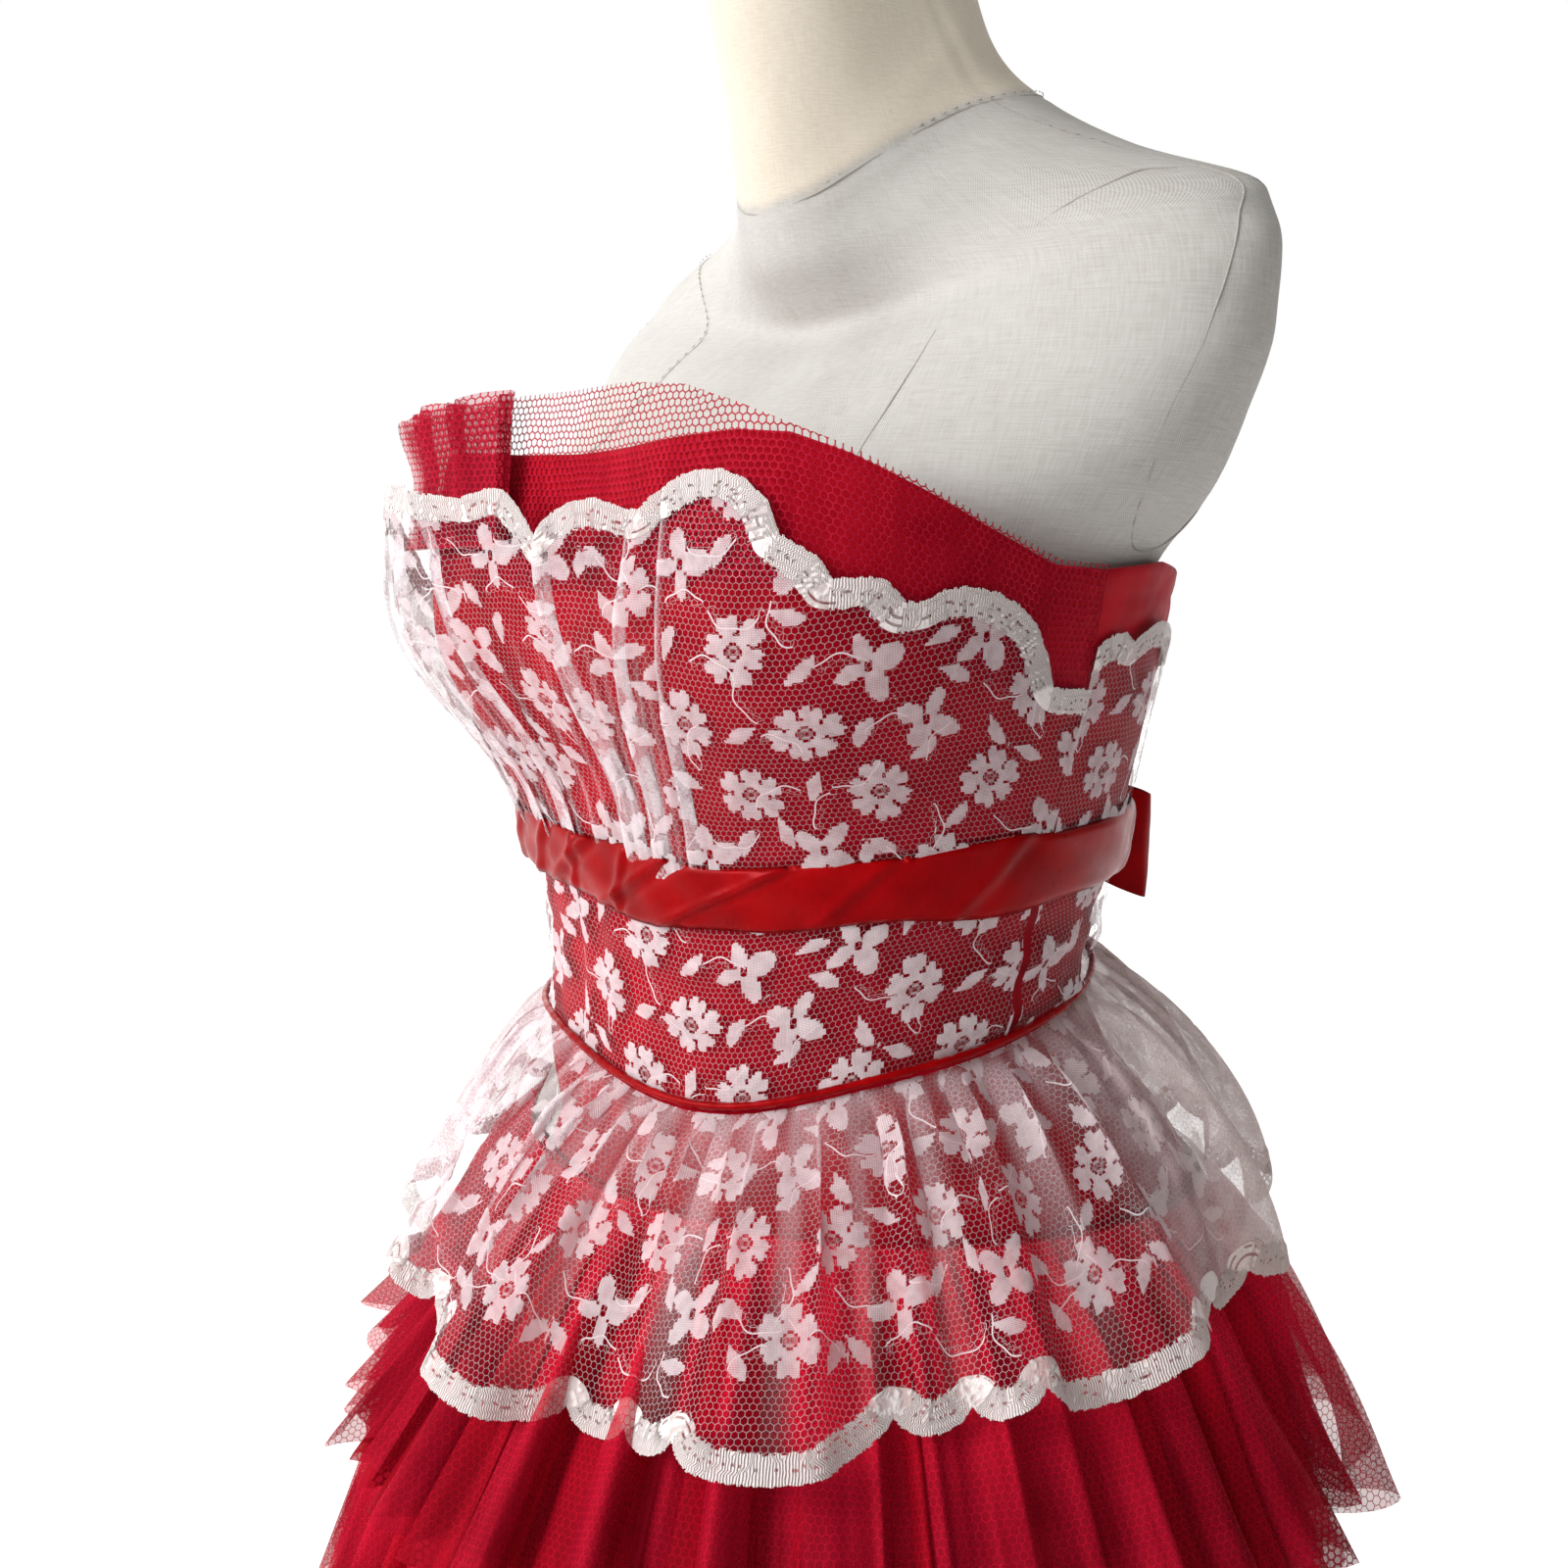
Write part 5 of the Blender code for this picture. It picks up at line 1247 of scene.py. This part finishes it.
def satin_piece(name, a0, a1, n, node, low_off=0.0004):
    t = np.linspace(a0, a1, n)
    v = np.linspace(0, 1, 74)
    T2 = t[:, None] + 0 * v[None]
    zb, zt = waist_z(T2) - low_off, satin_top(T2)
    z = zb + (zt - zb) * v[None]
    r = dress_r(T2, z) - 0.0018 + np.clip(satin_wrinkle(T2, z), -0.0010, 0.0012)
    P = point(r, T2, z)
    # the edge turns over and runs down inside
    a = np.linspace(0.25, 1.0, 6) * math.pi
    R = 0.0012
    zt1, rt = zt[:, :1], r[:, -1:]
    ring = point(rt - R + R * np.cos(a)[None], T2[:, :6], zt1 + R * np.sin(a)[None])
    down = np.linspace(0.0015, 0.020, 9)
    inner_z = zt1 - down[None]
    inner = point(dress_r(T2[:, :9], inner_z) - 0.0043, T2[:, :9], inner_z)
    P = np.concatenate([P, ring, inner], 1)
    s = arc_path(P[:, 40])
    F = np.stack([(s[:, None] + 0 * P[..., 0]) * 1000, arc_rows(P) * 1000], -1)
    dg = np.degrees(wrap(T2[:, :1]))
    edge_z = np.where(np.abs(dg) < 83.6, lerp(LACE_FRONT_TOP, dg), lerp(LACE_BACK_TOP, np.abs(dg)))
    # painted shade: darkens the satin below the lace's top edge, more toward the right side
    shade = smooth01((edge_z - (P[..., 2] - WAIST_Z)) / 0.012) * (0.30 + 0.70 * smooth01((dg + 5) / 50))
    ob = sheet_grid(name, P, SATIN, attrs={"fab": F, "under": shade})
    dress_piece(ob, (node,))
    return ob


satin_piece("satin_bodice_front", -SIDE + 0.0010, SIDE - 0.0010, 150, "satin_front")
satin_piece("satin_bodice_back", SIDE + 0.0010, 2 * math.pi - SIDE - 0.0010, 150, "satin_back")

# =====================================================================  net at the neckline
NET_TOP = net_material("net_neckline", cell=2.8, thread=0.28, alpha=0.95, dark=(0.32, 0.004, 0.020), light=(0.50, 0.014, 0.040))
NET_DENSE = net_material("net_pleated", cell=2.9, thread=0.32, alpha=0.95, fill=0.40, dark=(0.36, 0.006, 0.022), light=(0.56, 0.016, 0.045))
NET_A = net_material("net_outer", cell=2.8, thread=0.24, alpha=0.88, fill=0.56, dark=(0.28, 0.0026, 0.014), light=(0.56, 0.0090, 0.034))
NET_B = net_material("net_inner", cell=2.8, thread=0.34, alpha=0.96, fill=0.66, dark=(0.23, 0.0016, 0.009), light=(0.42, 0.0040, 0.017))
NET_C = net_material("net_deep", cell=2.8, thread=0.36, alpha=0.96, fill=0.84, dark=(0.25, 0.0014, 0.008), light=(0.34, 0.0030, 0.012))


def net_strip(name, a0, a1, n, rows, low, high, off, mat, node=()):
    t = np.linspace(a0, a1, n)
    v = np.linspace(0, 1, rows)
    T2 = t[:, None] + 0 * v[None]
    z = low(T2) * (1 - v) + high(T2) * v
    P = point(dress_r(T2, z) + off(T2, z), T2, z)
    s = arc_path(P[:, rows // 2])
    F = np.stack([(s[:, None] + 0 * v[None]) * 1000, arc_rows(P) * 1000], -1)
    ob = sheet_grid(name, P, mat, attrs={"fab": F})
    dress_piece(ob, node)
    return ob, P


def net_out(th, z):
    above = smooth01((z - satin_top(th) + 0.002) / 0.012)
    return -0.0005 + above * (0.0015 + 0.0010 * np.sin(9 * th + 60 * z))


net_strip("net_neckline_frill", -SIDE + 0.002, SIDE - 0.002, 160, 40, lambda t: satin_top(t) - 0.046, net_top, net_out, NET_TOP, ("net_frill",))


def pleated_net(name, shift, lift, high, depth, mat, seed):
    rng = np.random.default_rng(seed)
    n, rows = 66, 26
    u = np.linspace(0, 1, n)
    v = np.linspace(0, 1, rows)
    U, V = np.meshgrid(u, v, indexing='ij')
    low_a, top_a = np.radians(-41 + 30 * U + shift), np.radians(-40 + 27 * U + shift)
    th = low_a + (top_a - low_a) * V
    ragged = np.interp(u, np.linspace(0, 1, 12), rng.uniform(-0.0018, 0.0018, 12))[:, None]
    z = 0.163 + (0.2110 + high + 0.0060 * U + ragged - 0.163) * V
    saw = (U * 3) % 1.0
    zig = depth * (0.5 - saw + 0.35 * np.sin(2 * np.pi * U * 3 + 0.8))
    th = th - 0.035 * np.sin(2 * np.pi * U * 3) * V
    reach = 0.0062 + 0.0105 * smooth01((z - 0.186) / 0.028) * (1 - U)**0.5
    P = point(dress_r(th, z) + reach + zig * (0.4 + 0.6 * V) + lift, th, z)
    s = arc_path(P[:, rows // 2])
    F = np.stack([(s[:, None] + 0 * V) * 1000, arc_rows(P) * 1000], -1)
    ob = sheet_grid(name, P, mat, attrs={"fab": F})
    dress_piece(ob, ("net_pleats",) if seed == 1 else ())
    A = area_of(P)


pleated_net("net_pleats_outer", 0.0, 0.0010, 0.0, 0.0042, NET_DENSE, 1)
pleated_net("net_pleats_middle", 0.7, -0.0006, 0.0022, 0.0038, NET_DENSE, 2)
pleated_net("net_pleats_inner", -0.6, -0.0022, -0.0012, 0.0036, NET_DENSE, 3)

# =====================================================================  ribbon, bow and piping
# ridge lines on the ribbon: angle at the lower edge, angle at the upper edge, height, half width in mm
CREASES = [
    (-27, -20, 0.0014, 2.4), (-20, -5, 0.0018, 3.2), (-12, -10, 0.0008, 1.8), (-3, 17, 0.0020, 3.4), (2, 6, 0.0008, 2.0),
    (14, 40, 0.0014, 3.6), (44, 56, 0.0008, 3.6), (66, 78, 0.0009, 4.0),
    (-40, -34, 0.0012, 2.4), (-70, -60, 0.0010, 2.6), (110, 118, 0.0010, 3.0), (150, 140, 0.0012, 3.0), (-130, -138, 0.0010, 3.0),
]


def ribbon_ring():
    n, rows = 520, 16
    t = np.linspace(-np.pi, np.pi, n, endpoint=False)
    v = np.linspace(0, 1, rows)
    T2, V = np.meshgrid(t, v, indexing='ij')
    mid, w = ribbon_mid(T2), ribbon_w(T2)
    z = mid + w * (V - 0.5)
    off = 0.0023 + 0.0010 * np.sin(np.pi * V)
    d = np.degrees(T2)
    for a0, a1, h, wide in CREASES:
        line = a0 + (a1 - a0) * V
        x = (wrap(np.radians(d - line))) * 118.0
        off = off + h * (np.exp(-(x / wide)**2) - 0.6 * np.exp(-((x - 1.9 * wide) / (wide * 1.1))**2))
    off = off + 0.0004 * np.sin(np.radians(d * 7) + 3 * V) + 0.00025 * np.sin(np.radians(d * 23) + 7 * V)
    # edges press into the lace and turn under
    off = off - 0.0011 * (np.exp(-(V / 0.05)**2) + np.exp(-((1 - V) / 0.05)**2))
    z = z + 0.0011 * (np.sin(5 * T2 + 1.0) + 0.7 * np.sin(11 * T2)) * (V - 0.5) * 2
    P = point(dress_r(T2, mid) * 0.35 + dress_r(T2, z) * 0.65 + np.maximum(off, 0.0011), T2, z)
    back_low = point(dress_r(T2[:, :1], z[:, :1] + 0.003) + 0.0009, T2[:, :1], z[:, :1] + 0.003)
    back_high = point(dress_r(T2[:, :1], z[:, -1:] - 0.003) + 0.0009, T2[:, :1], z[:, -1:] - 0.003)
    P = np.concatenate([back_low, P, back_high], 1)
    s = arc_path(P[:, 8])
    F = np.stack([(s[:, None] + 0 * P[..., 0]) * 1000, arc_rows(P) * 1000], -1)
    ob = sheet_grid("ribbon_sash_cloth", P, RIBBON, closed=True, attrs={"fab": F})
    dress_piece(ob, ("ribbon_sash",))


ribbon_ring()

BOW_Z = float(ribbon_mid(np.array(math.pi)))
BOW_Y = float(dress_r(np.array(math.pi), np.array(BOW_Z))) + 0.0019
KNOT = (0.020, 0.026, 0.014)
LOOP = [(0.0105, 0.0040, 0.016), (0.030, 0.0030, 0.034), (0.052, 0.0045, 0.042), (0.070, 0.0110, 0.044), (0.076, 0.0180, 0.044),
        (0.068, 0.0235, 0.042), (0.048, 0.0215, 0.036), (0.026, 0.0155, 0.026), (0.0105, 0.0110, 0.016)]


def bow_loop(name, side, node):
    rows = np.array(LOOP)
    t0 = np.concatenate([[0], np.cumsum(np.linalg.norm(np.diff(rows[:, :2], axis=0), axis=1))])
    t = np.linspace(0, t0[-1], 96)
    m = np.gradient(rows, t0, axis=0)
    i = np.clip(np.searchsorted(t0, t) - 1, 0, len(t0) - 2)
    h = (t0[i + 1] - t0[i])[:, None]
    x = ((t - t0[i]) / h[:, 0])[:, None]
    q = ((2 * x**3 - 3 * x**2 + 1) * rows[i] + (x**3 - 2 * x**2 + x) * h * m[i] + (-2 * x**3 + 3 * x**2) * rows[i + 1] + (x**3 - x**2) * h * m[i + 1])
    v = np.linspace(-0.5, 0.5, 25)
    T2, V = np.meshgrid(np.linspace(0, 1, 96), v, indexing='ij')
    near = np.exp(-(q[:, :1] - 0.0105) / 0.018)
    fold = 0.0022 * near * np.cos(2 * np.pi * V * 4) + 0.0008 * np.sin(9 * T2 + 6 * V)
    depth = q[:, 1:2] + fold
    depth = depth + np.where(T2 > 0.5, 0.0025, 0.0) * np.sin(np.pi * (V + 0.5))
    X = AX + side * q[:, :1] + 0 * V
    Y = AY + BOW_Y + depth
    Zz = WAIST_Z + BOW_Z - 0.022 * (q[:, :1] / 0.076)**1.15 + V * q[:, 2:3] + 0.0016 * np.sin(7 * T2)
    P = np.stack([X, Y, Zz], -1)
    F = np.stack([(t[:, None] + 0 * V) * 1000, V * 44.0], -1)
    ob = sheet_grid(name, P, RIBBON, attrs={"fab": F})
    dress_piece(ob, (node,))


bow_loop("bow_loop_cloth_left", 1.0, "bow_loop_left")
bow_loop("bow_loop_cloth_right", -1.0, "bow_loop_right")


def bow_knot():
    w, h, d = KNOT
    a = np.linspace(0, 2 * np.pi, 40, endpoint=False)
    v = np.linspace(-0.5, 0.5, 22)
    A2, V = np.meshgrid(a, v, indexing='ij')
    sq = lambda c: np.sign(c) * np.abs(c)**0.75
    pinch = 1 - 0.10 * np.cos(2 * np.pi * V)
    crease = 1 + 0.05 * np.sin(5 * A2 + 4 * V) * np.cos(np.pi * V)
    X = AX + sq(np.cos(A2)) * w / 2 * pinch * crease
    Y = AY + BOW_Y + 0.0006 + d / 2 + sq(np.sin(A2)) * d / 2 * crease
    Zz = WAIST_Z + BOW_Z + V * h
    P = np.stack([X, Y, Zz], -1)
    mid = P.mean(0, keepdims=True)
    lo_ring, hi_ring = P[:, :1], P[:, -1:]
    c0, c1 = lo_ring.mean(0, keepdims=True), hi_ring.mean(0, keepdims=True)
    P = np.concatenate([c0 + (lo_ring - c0) * 0.5, P, c1 + (hi_ring - c1) * 0.5], 1)
    F = np.stack([A2[:, :1] * 8 + 0 * P[..., 0], P[..., 2] * 1000], -1)
    ob = sheet_grid("bow_knot_cloth", P, RIBBON, closed=True, attrs={"fab": F}, flip=True)
    dress_piece(ob, ("bow_knot",))


bow_knot()

t = np.linspace(-np.pi, np.pi, 500, endpoint=False)
z = waist_z(t)
path = point(dress_r(t, z) + 0.0020, t, z)
rad = 0.0014 + 0.00012 * np.sin(60 * t) + 0.0001 * np.sin(151 * t + 1)
V, F = tube_mesh(path, rad, 10, closed=True)
s = np.repeat(arc_path(path) * 1000, 10)
q = np.tile(np.arange(10) * 1.3, len(t))
ob = make("waist_piping_cloth", V, F, RIBBON, {"fab": np.stack([s, q], -1)})
dress_piece(ob, ("waist_piping",))

# =====================================================================  skirt
n, rows = 200, 60
t = np.linspace(-np.pi, np.pi, n, endpoint=False)
v = np.linspace(0, 1, rows)
T2, V2 = np.meshgrid(t, v, indexing='ij')
z0 = waist_z(T2) - 0.001
z = z0 + (SKIRT_END - z0) * V2
r = skirt_r(T2, z) - 0.0031 + 0.0020 * V2 * np.sin(14 * T2 + np.sin(3 * T2)) - 0.0020 * V2
P = point(r, T2, z)
hem_in = point(r[:, -1:] - 0.0012 + 0 * v[None, :5], T2[:, :5], z[:, -1:] + np.array([0.0, 0.003, 0.010, 0.018, 0.022])[None])
P = np.concatenate([P, hem_in], 1)
s = arc_path(P[:, 40])
F = np.stack([(s[:, None] + 0 * P[..., 0]) * 1000, -arc_rows(P) * 1000], -1)
ob = sheet_grid("skirt_lining", P, LINING, closed=True, attrs={"fab": F}, flip=True)
dress_piece(ob, ("skirt_yoke", "skirt_middle", "skirt_lower"))


def uneven(rng, count, spread=0.45):
    """Angles of count folds, unevenly spaced round the whole turn."""
    g = 1 + spread * rng.uniform(-1, 1, count)
    c = np.concatenate([[0], np.cumsum(g)])
    return c / c[-1] * 2 * np.pi - np.pi


def phase_of(th, marks):
    k = np.arange(len(marks))
    return 2 * np.pi * np.interp(th, marks, k)


def flounce(name, k, layer, n, rows, mat, hem_up=0.0, out=0.0, big=26, small=80, wave=0.006, deep=1.0, node=()):
    rng = np.random.default_rng(100 + 10 * k + layer)
    hem = TIER_TOP_HEM - TIER_STEP * k
    top = hem + TIER_DROP
    th = np.linspace(-np.pi, np.pi, n, endpoint=False)
    v = np.linspace(0, 1, rows)
    T2, S = np.meshgrid(th, v, indexing='ij')
    big_p = phase_of(T2, uneven(rng, big))
    mid_p = phase_of(T2, uneven(rng, int(big * 1.8)))
    small_p = phase_of(T2, uneven(rng, small))
    amp = 0.6 + 0.4 * np.sin(4 * T2 + k + layer)
    ragged = np.interp(th, np.linspace(-np.pi, np.pi, 60), np.append(rng.uniform(-1, 1, 59), 0.0))
    ragged[:4] *= 0.2
    z_hem = hem + hem_up + wave * 0.6 * ragged[:, None] + 0.003 * np.cos(5 * T2 + 1.9 * k)
    z = top + (z_hem - top) * S
    flare = -0.0010 + TIER_FLARE * (0.80 * S + 0.20 * S * S) * (1 - 0.45 * np.exp(-((np.degrees(wrap(T2)) + 40) / 45)**2))
    fold = deep * (0.0060 * smooth01(S / 0.25) + 0.0040 * S * S) * amp * (np.cos(big_p) + 0.30 * np.cos(2 * big_p)) + deep * 0.0030 * smooth01(S / 0.3) * np.cos(mid_p)
    fold = fold + 0.0014 * smooth01(S / 0.08) * (1 - 0.65 * S) * np.cos(small_p)
    if k == 0 and layer == 0:
        # ruffles of the top layer that stand out past the others
        dd = np.degrees(T2)
        for at, wide, reach, mid_s, tall in ((117, 5.5, 0.024, 0.75, 0.40), (-43, 5.0, 0.014, 0.42, 0.22), (101, 4.5, 0.012, 0.9, 0.3), (-25, 4.0, 0.010, 1.0, 0.35)):
            fold = fold + reach * np.exp(-((dd - at) / wide)**2) * np.exp(-((S - mid_s) / tall)**2)
    r = skirt_r(T2, z) + flare + fold + out - 0.0010
    r = np.maximum(r, skirt_r(T2, z) + 0.0004 + 0.004 * S)
    sidew = ((0.0065 * S * amp) * np.sin(2 * big_p) * 0.6 - 0.0020 * S * np.sin(mid_p)) / r
    P = point(r, T2 + sidew, z)
    s = arc_path(P[:, rows * 2 // 3])
    per = 2.9 * round((s[-1] * 1000 + 2.9) / 2.9)
    F = np.stack([(s[:, None] / s[-1] * per * (n - 1) / n + 0 * S), -arc_rows(P) * 1000], -1)
    # the second attribute brightens the top of the tier's net as painted light
    ob = sheet_grid(name, P, mat, closed=True, attrs={"fab": F, "tier_top_painted_light": smooth01((0.75 - S) / 0.45)}, flip=True)
    dress_piece(ob, node)


flounce("net_tier_1_a", 0, 0, 760, 30, NET_A, hem_up=0.012, out=0.006, big=32, small=110, deep=1.35, wave=0.014, node=("net_tier_1",))
flounce("net_tier_1_b", 0, 1, 560, 22, NET_B, hem_up=0.004, out=0.000, big=28, small=90, deep=1.2, wave=0.010)
flounce("net_tier_1_c", 0, 2, 420, 18, NET_C, hem_up=0.0, out=-0.005, big=24, small=80)
flounce("net_tier_2_a", 1, 0, 560, 22, NET_A, out=0.003, big=30, small=100, node=("net_tier_2",))
flounce("net_tier_2_b", 1, 1, 460, 18, NET_B, out=-0.003, big=28, small=90)
for k in range(2, TIERS):
    flounce(f"net_tier_{k + 1}_a", k, 0, 440, 14, NET_A, out=0.002, big=30 + k, small=90, node=(f"net_tier_{k + 1}",))
    flounce(f"net_tier_{k + 1}_b", k, 1, 380, 12, NET_C, out=-0.004, big=28 + k, small=80)

# =====================================================================  sizes, and the end
tris = sum(sum(len(p.vertices) - 2 for p in o.data.polygons) for o in MADE)
print("triangles", tris, "pieces", len(MADE))
